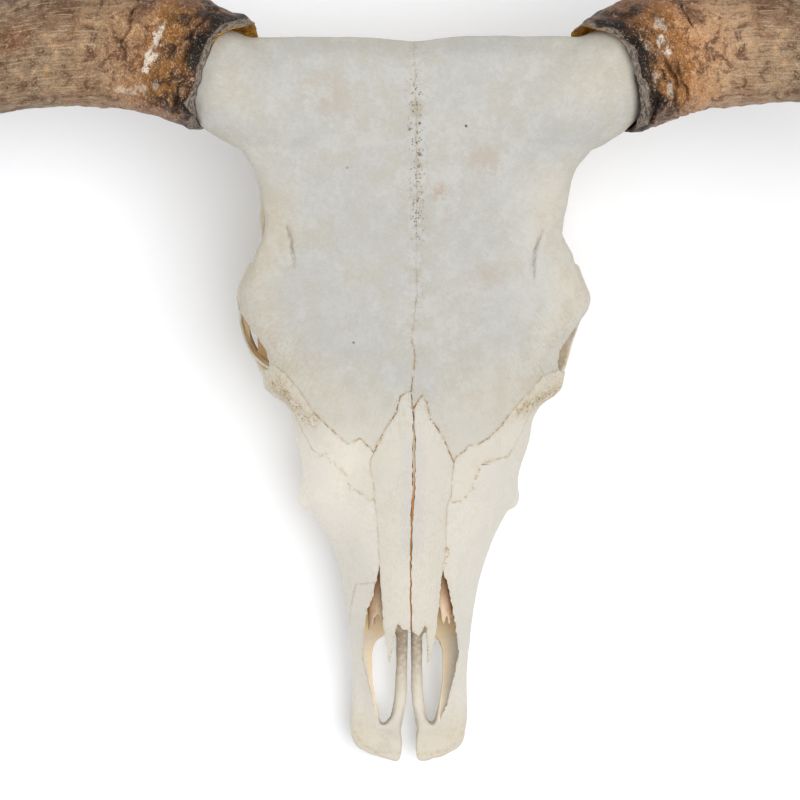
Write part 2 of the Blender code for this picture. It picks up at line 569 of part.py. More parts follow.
def horn_sheath(name):
    """A horn sheath: hollow near its rim, solid to its tip."""
    length = spline(HORN_AXIS, 200)[1]
    inside = [(place, SHEATH_RADIUS(place) - SHEATH_WALL - 0.1 * place)
              for place in np.linspace(SHEATH_CAVITY, 0, 5)]
    outside = [(place, SHEATH_RADIUS(place)) for place in length * np.linspace(0, 1, SHEATH_RINGS) ** 0.9]
    return skin(name, [sheath_ring(place, radius, max(0.0, 1 - place / RIM_FADE))
                       for place, radius in inside + outside])


FRONTAL_SIDE = ((-0.0535, 0.119), (0.0, 0.128), (0.04, 0.136), (0.10, 0.158), (0.20, 0.188), (0.30, 0.196),
                (0.30, 0.30), (-0.0535, 0.30))
MAXILLA_SIDE = ((-0.30, -0.02), (0.034, -0.02), (0.034, 0.20), (-0.30, 0.20))
CHEEKBONE = ((0.130, -0.060), (0.130, 0.104), (0.090, 0.092), (0.088, 0.060), (0.086, 0.030), (0.082, 0.005),
             (0.079, -0.012), (0.074, -0.030), (0.0685, -0.0435), (0.075, -0.052))
HORN_CORNER = ((0.060, 0.1915), (0.084, 0.176), (0.099, 0.158), (0.105, 0.142), (0.300, 0.142),
               (0.300, 0.300), (0.060, 0.300))
HORN_CORNER_Y = (0.128, 0.300)
HALF = ((0.0, -0.4), (0.4, -0.4), (0.4, 0.4), (0.0, 0.4))


def frontal_region(by, side=1):
    """Everything above the braincase, with the whole neck of the horn on one side."""
    region = crosswise(FRONTAL_SIDE)(by)
    corner = HORN_CORNER if side > 0 else other_side(HORN_CORNER)
    combine(region, lengthwise(corner, *HORN_CORNER_Y)(by), "UNION")
    return region


def nose_region(by):
    """The nose tip down to the palate, with the thin wing that climbs back along the nasal opening."""
    region = upright(NOSE_FRONT, -0.02, 0.20)(by)
    combine(region, upright(NOSE_WING, NOSE_WING_Z, 0.20)(by), "UNION")
    return region


def bones(skull):
    """Parts one side of the skull into its bones, and the braincase from the whole."""
    nasal = [*reversed(NASAL_TIP), *reversed(NASAL_EDGE)]
    braincase = add_object("braincase", skull.data.copy())
    for region in (crosswise(MAXILLA_SIDE), upright(CHEEKBONE, 0.040, 0.20),
                   upright(other_side(CHEEKBONE), 0.040, 0.20), frontal_region,
                   lambda by: frontal_region(by, side=-1)):
        combine(braincase, region(SEAM / 2), "DIFFERENCE")
    main_body(braincase)
    combine(skull, upright(HALF, -0.05, 0.4)(-SEAM / 2), "INTERSECT")
    parts = [take(skull, "nasal", upright(nasal, 0.085, 0.2)),
             take(skull, "lacrimal", upright(LACRIMAL_EDGE, 0.092, 0.2)),
             take(skull, "premaxilla", nose_region),
             take(skull, "frontal", frontal_region),
             take(skull, "zygomatic", upright(CHEEKBONE, 0.040, 0.20)),
             take(skull, "maxilla", crosswise(MAXILLA_SIDE))]
    bpy.data.objects.remove(skull, do_unlink=True)
    for body in teeth():
        combine(parts[-1], body, "UNION")
    return braincase, parts


def material(name, colour, roughness):
    made = bpy.data.materials.new(name)
    made.use_nodes = True
    shader = made.node_tree.nodes["Principled BSDF"]
    shader.inputs["Base Color"].default_value = (*colour, 1)
    shader.inputs["Roughness"].default_value = roughness
    made.diffuse_color = (*colour, 1)
    return made


def finish(piece, colour, roughness):
    piece.data.materials.clear()
    piece.data.materials.append(material(piece.name, colour, roughness))
    piece.data.shade_smooth()
    piece.data.set_sharp_from_angle(angle=math.radians(40))


COLOURS = {"nasal": (0.80, 0.77, 0.71), "lacrimal": (0.80, 0.75, 0.64), "premaxilla": (0.79, 0.74, 0.63),
           "frontal": (0.78, 0.76, 0.72), "zygomatic": (0.78, 0.71, 0.58), "maxilla": (0.80, 0.76, 0.66),
           "braincase": (0.76, 0.71, 0.61), "horn_sheath": (0.31, 0.17, 0.08)}
ROUGHNESS = {"horn_sheath": 0.38}


def build():
    clear_scene()
    braincase, parts = bones(whole_skull())
    for part in [*parts, horn_sheath("horn_sheath")]:
        name = part.name
        part.name = part.data.name = f"{name}_left"
        for piece in (part, mirrored(part, f"{name}_right")):
            finish(piece, COLOURS[name], ROUGHNESS.get(name, 0.7))
    finish(braincase, COLOURS["braincase"], 0.7)


build()
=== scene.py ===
"""The looks of the bull skull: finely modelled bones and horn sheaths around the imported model.

Lengths are in metres, apart from the tables in mm(), curve(), tube() and ellipsoid(), in millimetres.
+X is the animal's left, +Y leads from the nose to the poll, and +Z up from the teeth to the forehead.
Where a table has two rows, the first is for the side at -X and the second for the side at +X.
"""

import bmesh
import bpy
import math
import numpy as np
from mathutils import Euler, Matrix, Vector


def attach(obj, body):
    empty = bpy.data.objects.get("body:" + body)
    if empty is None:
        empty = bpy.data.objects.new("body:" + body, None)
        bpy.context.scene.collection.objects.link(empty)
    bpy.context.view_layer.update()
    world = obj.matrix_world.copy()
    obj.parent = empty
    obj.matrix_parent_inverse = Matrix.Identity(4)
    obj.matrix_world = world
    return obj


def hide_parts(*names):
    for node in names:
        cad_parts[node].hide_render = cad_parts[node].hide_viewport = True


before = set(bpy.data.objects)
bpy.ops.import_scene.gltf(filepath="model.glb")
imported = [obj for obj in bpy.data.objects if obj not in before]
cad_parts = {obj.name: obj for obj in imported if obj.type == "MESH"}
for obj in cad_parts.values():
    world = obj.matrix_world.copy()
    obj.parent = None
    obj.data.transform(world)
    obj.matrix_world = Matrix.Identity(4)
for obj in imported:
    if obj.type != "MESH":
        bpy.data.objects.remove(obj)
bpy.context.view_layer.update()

VOXEL = 0.0014
SOFT_ROUNDS = 22
SEAM = 0.00009
NOSE_Y = -0.266
POLL_Y = 0.2265
FAR = 9.0


# ---------------------------------------------------------------- curves and noise
def mm(*points):
    """Places written in millimetres, as metres."""
    return [tuple(value / 1000 for value in point) for point in points]


def line(*knots):
    """A smooth curve of values through (place, value) knots, level beyond its ends."""
    at, value = np.array(knots, float).T
    slope = np.gradient(value, at)

    def read(place):
        place = np.clip(place, at[0], at[-1])
        i = np.clip(np.searchsorted(at, place, side="right") - 1, 0, len(at) - 2)
        width = at[i + 1] - at[i]
        t = (place - at[i]) / width
        start, end = (1 + 2 * t) * (1 - t) ** 2, t * t * (3 - 2 * t)
        leave, arrive = t * (1 - t) ** 2 * width, t * t * (t - 1) * width
        return start * value[i] + end * value[i + 1] + leave * slope[i] + arrive * slope[i + 1]

    return read


def curve(*knots):
    return line(*mm(*knots))


def ease(low, high, value):
    """A smooth step from 0 at low to 1 at high."""
    t = np.clip((value - low) / (high - low), 0, 1)
    return t * t * (3 - 2 * t)


def hump(value, width):
    """1 at zero, fading to nothing over about twice the width."""
    return np.exp(-(value / width) ** 2)


def most(*fields):
    """The largest of all the fields at each point."""
    return np.maximum.reduce(fields)


def hashed(cells, seed):
    """Even random numbers from 0 to 1, one for each whole-numbered cell."""
    mixed = cells[:, 0] * 73856093 + cells[:, 1] * 19349663 + cells[:, 2] * 83492791 + seed * 668265263
    mixed = (mixed ^ (mixed >> 13)) * 1274126177 & 0xFFFFFFFF
    mixed = (mixed ^ (mixed >> 16)) * 2246822519 & 0xFFFFFFFF
    return ((mixed ^ (mixed >> 15)) & 0xFFFFFF) / 0xFFFFFF


def noise(points, size, seed=0):
    """Smooth noise from -1 to 1 with lumps of the given size."""
    spot = points / size + 1000
    cell = np.floor(spot).astype(np.int64)
    t = spot - cell
    t = t * t * t * (t * (t * 6 - 15) + 10)
    total = np.zeros(len(points))
    for corner in np.ndindex(2, 2, 2):
        weight = np.where(corner, t, 1 - t).prod(axis=1)
        total += weight * hashed(cell + np.array(corner), seed)
    return total * 2 - 1


def layered(points, size, rounds=3, seed=0):
    return sum(noise(points, size / 2 ** i, seed + i) * 0.5 ** i for i in range(rounds))


def path_distance(points, path):
    """Distance in plan from each point to a path of (x, y) points, and the share of the path there."""
    path = np.array(path, float)
    steps = np.linalg.norm(np.diff(path, axis=0), axis=1)
    along = np.concatenate([[0], np.cumsum(steps)]) / steps.sum()
    best, share = np.full(len(points), FAR), np.zeros(len(points))
    for i in range(len(path) - 1):
        start, run = path[i], path[i + 1] - path[i]
        t = np.clip(((points[:, :2] - start) @ run) / (run @ run), 0, 1)
        away = np.linalg.norm(points[:, :2] - start - t[:, None] * run, axis=1)
        nearer = away < best
        best = np.where(nearer, away, best)
        share = np.where(nearer, along[i] + t * (along[i + 1] - along[i]), share)
    return best, share


def other_side(outline):
    return [(-x, y) for x, y in reversed(outline)]


# ---------------------------------------------------------------- the skull's driving lines
# Half widths and heights of the skull's sections. Names in _X and _Z of the face are places on its section
ROOF_Z = curve((-266, 30), (-245, 37), (-225, 60), (-190, 100), (-105, 128.5), (-3.5, 155), (57, 178),
               (100, 194), (150, 209), (200, 220), (215, 219), (226.5, 208))
CHEEK_X = curve((-266, 12), (-263.4, 22), (-258.5, 32.5), (-249.3, 38.5), (-240, 40.5), (-219.5, 40.8),
                (-190, 41.6), (-170, 42.6), (-138, 46.7), (-117, 52.1), (-96, 62.2), (-86, 68.5),
                (-77, 76.5), (-68, 75.5), (-55, 76.6), (-34, 82), (-23.3, 83), (-13, 87), (-4, 98),
                (10, 105), (30, 111), (50, 116.5), (75, 112), (85, 108))
CHEEK_Z = curve((-266, 26), (-240, 31), (-205, 41), (-170, 50), (-138, 58), (-117, 62), (-78, 72),
                (-44, 80), (-13, 85), (10, 84), (30, 80), (50, 80), (85, 84))
SHOULDER_X = curve((-266, 8), (-258.5, 24), (-245, 30), (-220, 33), (-190, 36.5), (-170, 36.5),
                   (-138, 38.5), (-117, 41), (-75, 55), (-44, 62), (-20, 70), (0, 85), (15.5, 94.5),
                   (27, 101), (35, 106.5), (51, 115.5), (60, 118), (75, 112.5), (85, 107))
SHOULDER_Z = curve((-266, 30), (-245, 36), (-220, 46), (-190, 60), (-170, 69), (-138, 83), (-117, 92),
                   (-75, 108), (-44, 117), (-20, 125), (0, 135), (15.5, 142), (35, 150), (60, 157),
                   (85, 163))
CROWN_X = curve((-266, 4), (-258.5, 14), (-220, 18), (-170, 20.5), (-120, 22.5), (-70, 26.5), (-40, 31),
                (-10, 42), (30, 58), (85, 66))
CROWN_DROP = curve((-266, 0), (-220, 2), (-170, 6), (-70, 7), (30, 6), (85, 6))
CREST_X = curve((-266, 11), (-258.5, 31.5), (-240, 39.5), (-190, 40.5), (-138, 44.5), (-100, 57), (-80, 71),
                (-44, 76.5), (-13, 81), (20, 96), (50, 105), (85, 102))
CREST_Z = curve((-266, 24), (-240, 26), (-190, 34), (-138, 45), (-100, 50), (-78, 60), (-44, 65), (-13, 67),
                (20, 65), (50, 67), (85, 71))
UNDER_X = curve((-266, 10), (-258.5, 30), (-240, 38), (-190, 38.5), (-138, 41.5), (-100, 55.5), (-80, 67.5),
                (-44, 70.5), (0, 74.5), (20, 77), (50, 83), (85, 88))
UNDER_Z = curve((-266, 22), (-240, 23), (-190, 30), (-138, 35), (-100, 38), (-80, 45), (-44, 50), (0, 53),
                (20, 55), (50, 66), (85, 77))
GUM_X = curve((-266, 9), (-258.5, 26), (-240, 34), (-190, 36), (-140, 37), (-120, 46), (-110, 55),
              (-80, 66.5), (-40, 70), (20, 70), (40, 66), (85, 60))
GUM_Z = curve((-266, 21), (-240, 20), (-190, 23), (-140, 24), (-120, 24), (-80, 22), (15, 22), (32, 40),
              (50, 66), (85, 86))
GUM_INNER_X = curve((-266, 5), (-258.5, 16), (-240, 21), (-190, 24), (-140, 27), (-120, 31), (-80, 42),
                    (0, 46), (20, 46), (40, 40), (85, 34))
PALATE_Z = curve((-266, 21), (-240, 20), (-190, 25), (-170, 28), (-120, 32), (-80, 36), (0, 37), (20, 43),
                 (40, 70), (85, 88))
BROW_X = curve((30, 98), (51, 114.5), (57.6, 118), (67.6, 117), (77.3, 111.9), (87, 106.5), (96.7, 102),
               (106.2, 99.8), (115.8, 100.9), (135.1, 103.5), (144.6, 106.9), (154.1, 113), (175, 120),
               (205, 120), (226.5, 108))
BROW_Z = curve((30, 147), (60, 157), (90, 168), (110, 177), (150, 194), (200, 202), (226.5, 196))
PLATE_DEPTH = curve((30, 52), (190, 52), (226.5, 30))
BRAIN_X = curve((30, 36), (60, 44), (90, 53), (130, 60), (160, 64), (185, 60))
BRAIN_LOW = curve((30, 80), (60, 72), (90, 62), (130, 56), (185, 52))
BRAIN_TOP = curve((30, 150), (90, 178), (185, 196))
NAPE_X = curve((52, 40), (65, 66), (80, 92), (100, 104), (120, 102), (140, 88), (160, 80), (180, 92),
               (200, 106))
NAPE_BACK = curve((52, 188), (80, 186), (110, 186), (135, 194), (155, 205), (175, 214), (200, 223))
NAPE_EDGE = curve((52, 176), (80, 168), (110, 166), (150, 176), (200, 195))
NAPE_FRONT = curve((52, 160), (80, 142), (110, 146), (150, 158), (200, 170))
CAVITY_X = curve((-250, 18), (-200, 26), (-170, 30), (-100, 34), (-50, 36), (0, 32), (35, 18))
CAVITY_LOW = curve((-250, 36), (-170, 43), (-100, 46), (0, 48), (35, 75))
CAVITY_TOP = curve((-250, 60), (-190, 93.5), (-170, 100), (-105, 122.5), (-50, 136), (0, 142), (35, 130))
THROAT_ROOF = curve((-10, 60), (20, 74), (60, 70), (100, 56))
THROAT_X = curve((-10, 13), (20, 19), (60, 17.5), (100, 14))

HORN_AXIS = mm((127, 203, 187), (148, 209.5, 187), (190, 220, 189), (225, 223.5, 191), (265, 223.5, 196),
               (330, 218, 212), (390, 212, 239), (450, 211, 279), (495, 216, 322), (528, 226, 372))
SHEATH_RADIUS = curve((0, 41), (60, 39.2), (120, 37.6), (200, 33.5), (300, 27), (380, 19.5), (440, 11),
                      (480, 3))
SHEATH_WALL = 0.0038
SHEATH_CAVITY = 0.095
RIM_FADE = 0.07
# How far this skull differs from an even one
EDGE_SHIFT = (curve((-260, 0), (-245.3, 1.3), (-224.2, -1.3), (-213.7, -1.3), (-170, 0.5), (-105.8, 0.8),
                    (-95.5, 2.1), (-85.2, 2.1), (-74.9, 1.2), (-64.5, -0.5), (-12.9, 0), (-2.6, 1.2),
                    (7.7, -1), (30, 0), (47, -1.8), (57.3, -5), (67.3, -3.4), (77.4, -2.7), (88, 0),
                    (104, -0.2), (115, -0.4), (125, 0.6), (135, 1.3), (155, 1.6), (175, 0)),
              curve((-260, 0), (-245.3, 0.6), (-213.7, -0.6), (-170, 0.7), (-95.5, 0), (-85.2, -1.3),
                    (-64.5, -1.3), (-44, 0.5), (-23.3, 1.4), (-12.9, 2.7), (-2.6, 4.1), (7.7, 1.6), (20, 0),
                    (47, -2), (57.3, -2.7), (77.4, -2.7), (88, 0.6), (104, -1.2), (115, 0.6), (125, 1.3),
                    (145, 1), (155, 2.8), (175, 0)))
POLL_SHIFT = (0.0030, 0.0040)
# The thin rim of the orbit at -X, and the leaning slot behind it through which the floor shows
ORBIT_RING = ((-115.2, 60.5, 104), (-117.1, 52.5, 95), (-117.3, 43, 89), (-114.5, 32.6, 89),
              (-109.6, 22.9, 96), (-102, 15.5, 109), (-94.1, 10.9, 124))
ORBIT_SLOT = mm((-113, 45.9), (-111.9, 38.9), (-111.3, 32), (-109.5, 25.8), (-107.4, 22.3), (-106.1, 25.1),
                (-106.4, 32), (-106.1, 42.4), (-107.4, 49.3))
SLOT_HEIGHT, SLOT_LEAN = 0.085, (0.028, -0.018)
# The horn cores: their axis, half width and half height, in millimetres
CORE_AXIS = ((60, 186, 182), (100, 189, 185.5), (118, 195.4, 187), (138, 206.4, 188), (163, 212.5, 188),
             (188, 218.5, 189), (210, 221.5, 190))
CORE_WIDE = (42, 38, 34.6, 30.5, 28.5, 25.5, 15)
CORE_HIGH = (30, 31, 31.5, 30.5, 29, 26, 15)

# Sutures and the edges of openings in plan as (x, y)
NASOFRONTAL = (mm((0, -3), (-1.6, -3.4), (-8.8, -6.8), (-11.4, -18.2), (-19.3, -30.3), (-26.2, -45)),
               mm((0, -16), (2, -12), (6, -6.1), (9.4, -11.5), (11.6, -22.3), (17, -29), (21.8, -37.7),
                  (27.2, -50), (28.2, -51.8)))
NASAL_SIDE = (mm((-26.2, -45), (-28.4, -50), (-28.6, -56.8), (-26.5, -64.2), (-25.6, -76.6), (-24.8, -86.1),
                 (-23.2, -100.3), (-22.1, -121.5)),
              mm((28.2, -51.8), (27.8, -56), (26.9, -62.2), (26.5, -74.6), (23.8, -81.4), (23.2, -90.9),
                 (23.4, -109.8), (21.5, -125)))
NASAL_TIP = (mm((-21.2, -136.5), (-18.8, -166), (-15.6, -189), (-14.6, -190.5), (-12.2, -175),
                (-10.4, -164), (-9.2, -162.2), (-7.5, -164), (-6, -166.8), (-3, -166.5), (0, -167.5)),
             mm((20.2, -131.4), (18.4, -151.3), (16.6, -170.7), (12.6, -189), (11.4, -190.5), (10.8, -173),
                (10, -164), (9, -163.2), (7.5, -167), (5, -170.8), (1.8, -169), (0, -167.5)))
FRONTAL_EDGE = (mm((-100, 14), (-94.7, 15), (-86.5, 8.2), (-77.3, -2), (-67.5, -17.6), (-59.3, -25.7),
                   (-49.6, -34.6), (-44, -39.2), (-41.5, -38.7), (-35.5, -35.3), (-30, -41), (-26.2, -45)),
                mm((100, 12), (87.6, 7.2), (79.5, -3.4), (72, -11.5), (65.3, -19.7), (59.9, -27.2),
                   (52.5, -34.6), (44.4, -39.4), (37.7, -40.1), (35.5, -44), (30.2, -47), (28.2, -51.8)))
LACRIMAL_EDGE = (mm((-26.2, -77), (-30.1, -77), (-36.3, -72.2), (-42.2, -69.3), (-45, -61.1),
                    (-49.9, -54.9), (-56.1, -51.5), (-58.8, -46.6), (-63, -48), (-69, -43), (-79, -23),
                    (-90, -6), (-106, 1)),
                 mm((26.2, -78.4), (34, -78.4), (41.3, -70.5), (43.9, -61), (46.6, -53.5), (51.4, -50.8),
                    (60, -49.2), (65.9, -48.7), (69, -43), (79, -23), (90, -6), (106, 1)))
APERTURE = (mm((-22.6, -126), (-24.6, -133.6), (-26.6, -145.8), (-30.1, -153), (-31.9, -166.8),
               (-33.3, -181.9), (-33.3, -189.5), (-29.8, -204.3), (-27, -215.4), (-24.1, -230.2),
               (-19.8, -240), (-13, -234), (-10, -230), (0, -230)),
            mm((22.2, -129), (25.4, -138.2), (28.4, -153), (29.9, -159.3), (32.4, -173.1), (34, -185.4),
               (31.4, -200.1), (28.8, -209.5), (27, -221.1), (22.3, -233.7), (19, -240), (13, -234),
               (10, -230), (0, -230)))
FISSURE = (mm((0, -172), (-15, -173), (-24, -179), (-26.9, -188), (-26.4, -206), (-24, -223),
              (-19.7, -241.2), (-13, -234), (-10, -229), (0, -229)),
           mm((0, -172), (13, -173), (20.5, -178.5), (23.8, -188), (23.6, -206), (21.5, -223),
              (16.8, -241.2), (12.5, -234), (10, -229), (0, -229)))
NOSE_GAP = mm((0, -150), (1.1, -170), (2.4, -222), (5.6, -234), (5.8, -243), (4.6, -254), (5.2, -262),
              (12, -276), (0, -276))
NOSE_WING = mm((10, -175), (43.2, -175), (42.7, -167.5), (41.4, -153.3), (38, -137.2), (24, -134),
               (10, -131))
NOSE_FRONT = mm((-20, -300), (80, -300), (80, -170), (43.2, -170), (30, -173.5), (15, -171), (-20, -168))
# The middle suture as (y, x)
MIDLINE = mm((300, 0), (223, -1.3), (170, 0.4), (122, 0.9), (59.4, 1.4), (31.6, -1.3), (20.4, 1.1),
             (-3.5, -1.4), (-20, 0.2), (-56.6, 1), (-105, -0.6), (-145.5, -0.6), (-170, 0), (-300, 0))
NASAL_GAP = curve((-300, 1), (-165, 1), (-105, 1.2), (-60, 1.9), (-40, 1.9), (-22, 0.9), (0, 0.5))
MIDDLE = line(*sorted(MIDLINE))
# Seen from the side as (y, z)
FRONTAL_SIDE = mm((-53.5, 119), (0, 128), (40, 136), (100, 158), (200, 188), (300, 196), (300, 300),
                  (-53.5, 300))
MAXILLA_SIDE = mm((-300, -20), (34, -20), (34, 200), (-300, 200))
# In plan, and the horn's corner seen from the front as (x, z)
CHEEKBONE = mm((130, -60), (130, 104), (90, 92), (88, 60), (86, 30), (82, 5), (79, -12), (74, -30),
               (68.5, -43.5), (75, -52))
HORN_CORNER = mm((60, 191.5), (84, 176), (99, 158), (105, 142), (300, 142), (300, 300), (60, 300))
# Grooves above the orbits, and the porous patches on the lacrimals
GROOVE = (mm((-85.3, 108.5), (-83.5, 102), (-81.8, 95.5), (-81.2, 88), (-80, 81.5), (-78.8, 76.5)),
          mm((86.2, 106), (83.5, 98.5), (80, 90.5), (79.8, 81.5), (79.8, 74), (80.4, 69)))
ROUGH_PATCH = (mm((-93, 1), (-85, -8.5), (-77, -17.5), (-68, -24)),
               mm((96, -3), (88, -9), (80, -13), (74, -17)))
# The worn ledge at the nose tip, on both sides
NOSE_LEDGE = mm((6, -260), (15, -260.5), (24, -259), (31, -255), (38, -245))
# The height down to which the nose opening is cut
APERTURE_LOW = 0.0445
SIDES = ((-1, "right"), (1, "left"))


# ---------------------------------------------------------------- mesh making
def add_object(name, mesh):
    piece = bpy.data.objects.new(name, mesh)
    bpy.context.scene.collection.objects.link(piece)
    return piece


def poured(name, shape):
    """A new object from a bmesh."""
    mesh = bpy.data.meshes.new(name)
    shape.to_mesh(mesh)
    shape.free()
    return add_object(name, mesh)


def grid_mesh(name, points, faces):
    mesh = bpy.data.meshes.new(name)
    mesh.from_pydata(points, [], faces)
    mesh.update()
    return mesh


def ring_faces(rows, around):
    """Quads between rings of points, and the flat cap of the first ring."""
    index = np.arange(rows * around).reshape(rows, around)
    near, far = index[:-1], index[1:]
    quads = np.stack([near, np.roll(near, -1, 1), np.roll(far, -1, 1), far], axis=2).reshape(-1, 4)
    return quads.tolist() + [index[0][::-1].tolist()]


def closed_piece(name, points, faces):
    """A smooth closed object, its caps split into triangles and its faces pointing out."""
    mesh = grid_mesh(name, points.tolist(), faces)
    shape = bmesh.new()
    shape.from_mesh(mesh)
    bmesh.ops.triangulate(shape, faces=[face for face in shape.faces if len(face.verts) > 4])
    bmesh.ops.recalc_face_normals(shape, faces=shape.faces)
    shape.to_mesh(mesh)
    shape.free()
    mesh.shade_smooth()
    return add_object(name, mesh)


def skin(name, rings):
    """A closed body through rings of points, each ring capped only at the two ends."""
    shape = bmesh.new()
    loops = [[shape.verts.new(point) for point in ring] for ring in rings]
    for near, far in zip(loops, loops[1:]):
        for i in range(len(near)):
            shape.faces.new((near[i - 1], near[i], far[i], far[i - 1]))
    shape.faces.new(loops[0])
    shape.faces.new(reversed(loops[-1]))
    bmesh.ops.triangulate(shape, faces=[face for face in shape.faces if len(face.verts) > 4])
    bmesh.ops.recalc_face_normals(shape, faces=shape.faces)
    return poured(name, shape)


def round_outline(keys, steps=6):
    """A smooth closed ring through half an outline, from its top middle to its bottom middle."""
    half = [Vector(key) for key in keys]
    full = half + [Vector((-key.x, key.y)) for key in reversed(half[1:-1])]
    points = []
    for i, start in enumerate(full):
        end = full[(i + 1) % len(full)]
        before, after = full[i - 1], full[(i + 2) % len(full)]
        reach = (end - start).length
        leave = (end - before).normalized() * reach
        arrive = (after - start).normalized() * reach
        for step in range(steps):
            t = step / steps
            points.append(start * (1 + 2 * t) * (1 - t) ** 2 + end * t * t * (3 - 2 * t)
                          + leave * t * (1 - t) ** 2 + arrive * t * t * (t - 1))
    return points


def loft_along_y(name, places, keys_at):
    return skin(name, [[(p.x, y, p.y) for p in round_outline(keys_at(y))] for y in places])


def spline(path, count):
    """Evenly spaced points on a smooth curve through the path's points, and the curve's length."""
    path = np.array(path, float)
    along = np.concatenate([[0], np.cumsum(np.linalg.norm(np.diff(path, axis=0), axis=1))])
    places = np.linspace(0, along[-1], count)
    return np.column_stack([line(*zip(along, axis))(places) for axis in path.T]), along[-1]


def tube(name, path, widths, heights, sides=28, rings=30, up=(0, 0, 1)):
    """A tapering bar of oval section along a path; widths and heights are half sizes."""
    centres, length = spline(mm(*path), rings)
    wide, high = (line(*zip(np.linspace(0, length, len(sizes)), np.array(sizes) / 1000))
                  for sizes in (widths, heights))
    forward = np.gradient(centres, axis=0)
    loops = []
    for i, centre in enumerate(centres):
        ahead = Vector(forward[i]).normalized()
        across = ahead.cross(Vector(up)).normalized()
        over = across.cross(ahead)
        place = length * i / (rings - 1)
        loops.append([Vector(centre) + across * (wide(place) * math.cos(turn))
                      + over * (high(place) * math.sin(turn))
                      for turn in np.linspace(0, 2 * math.pi, sides, endpoint=False)])
    return skin(name, loops)


def ellipsoid(name, centre, radii, turn=(0, 0, 0)):
    centre, radii = mm(centre, radii)
    shape = bmesh.new()
    place = Matrix.Translation(centre) @ Euler([math.radians(a) for a in turn]).to_matrix().to_4x4()
    bmesh.ops.create_icosphere(shape, subdivisions=4, radius=1, matrix=place @ Matrix.Diagonal((*radii, 1)))
    bmesh.ops.recalc_face_normals(shape, faces=shape.faces)
    return poured(name, shape)


def prism(name, outline, low, high):
    return skin(name, [[(x, y, z) for x, y in outline] for z in (low, high)])


def both_sides(pieces):
    """Each piece, followed by its mirror image."""
    pairs = []
    for piece in pieces:
        mesh = piece.data.copy()
        mesh.transform(Matrix.Diagonal((-1, 1, 1, 1)))
        mesh.flip_normals()
        pairs += [piece, add_object(f"{piece.name}_other", mesh)]
    return pairs


def settle(piece):
    """Applies the piece's modifiers."""
    graph = bpy.context.evaluated_depsgraph_get()
    mesh = bpy.data.meshes.new_from_object(piece.evaluated_get(graph))
    piece.modifiers.clear()
    piece.data = mesh


def fuse(pieces, name, rounds, voxel=VOXEL):
    """One even skin around all the pieces, softened where they meet."""
    shape = bmesh.new()
    for piece in pieces:
        shape.from_mesh(piece.data)
        bpy.data.objects.remove(piece, do_unlink=True)
    whole = poured(name, shape)
    remesh = whole.modifiers.new("one skin", "REMESH")
    remesh.mode = "VOXEL"
    remesh.voxel_size = voxel
    soft = whole.modifiers.new("soft", "SMOOTH")
    soft.factor = 0.5
    soft.iterations = rounds
    settle(whole)
    return whole


def combine(piece, other, operation="DIFFERENCE"):
    cut = piece.modifiers.new("combine", "BOOLEAN")
    cut.operation = operation
    cut.solver = "MANIFOLD"
    cut.object = other
    settle(piece)
    bpy.data.objects.remove(other, do_unlink=True)


def read_points(piece):
    """The places and normals of a piece's points."""
    found = []
    for data, key in ((piece.data.vertices, "co"), (piece.data.vertex_normals, "vector")):
        values = np.empty(len(data) * 3, np.float32)
        data.foreach_get(key, values)
        found.append(values.reshape(-1, 3).astype(float))
    return found


# ---------------------------------------------------------------- the skull's form
def face_keys(y):
    """Half the outline of the face, from the roof's middle round the cheek to the palate's middle."""
    gum, palate = GUM_Z(y), PALATE_Z(y)
    return ((0, ROOF_Z(y)), (CROWN_X(y), ROOF_Z(y) - CROWN_DROP(y)), (SHOULDER_X(y), SHOULDER_Z(y)),
            (CHEEK_X(y), CHEEK_Z(y)), (CREST_X(y), CREST_Z(y)), (UNDER_X(y), UNDER_Z(y)),
            (GUM_X(y), gum), (GUM_INNER_X(y), gum + 0.001), (GUM_INNER_X(y) - 0.006, palate), (0, palate))


def forehead_keys(y):
    roof, brow_x, brow_z = ROOF_Z(y), BROW_X(y), BROW_Z(y)
    depth = PLATE_DEPTH(y)
    return ((0, roof), (0.062, roof - 0.006), (brow_x - 0.006, brow_z + 0.004), (brow_x, brow_z - 0.004),
            (brow_x - 0.007, brow_z - 0.014), (0.070, roof - 0.8 * depth), (0, roof - depth))


def brain_keys(y):
    wide, low, top = BRAIN_X(y), BRAIN_LOW(y), BRAIN_TOP(y)
    tall = top - low
    return ((0, top), (wide * 0.8, top - 0.1 * tall), (wide, top - 0.45 * tall),
            (wide * 0.82, low + 0.2 * tall), (wide * 0.38, low), (0, low))


def nape_ring(z):
    wide, back, edge, front = NAPE_X(z), NAPE_BACK(z), NAPE_EDGE(z), NAPE_FRONT(z)
    keys = ((0, back), (wide * 0.55, back - 0.003), (wide, edge), (wide * 0.9, front), (0, front))
    return [(p.x, p.y, z) for p in round_outline(keys)]


def cavity_keys(y):
    wide, floor, ceiling = CAVITY_X(y), CAVITY_LOW(y), CAVITY_TOP(y)
    return ((0, ceiling), (0.0185, ceiling - 0.007), (wide, (floor + ceiling) / 2),
            (wide * 0.9, floor + 0.006), (0, floor))


def throat_keys(y):
    roof, wide = THROAT_ROOF(y), THROAT_X(y)
    return ((0, roof), (wide * 0.8, roof - 0.004), (wide, roof - 0.02), (wide, 0.0), (0, -0.005))


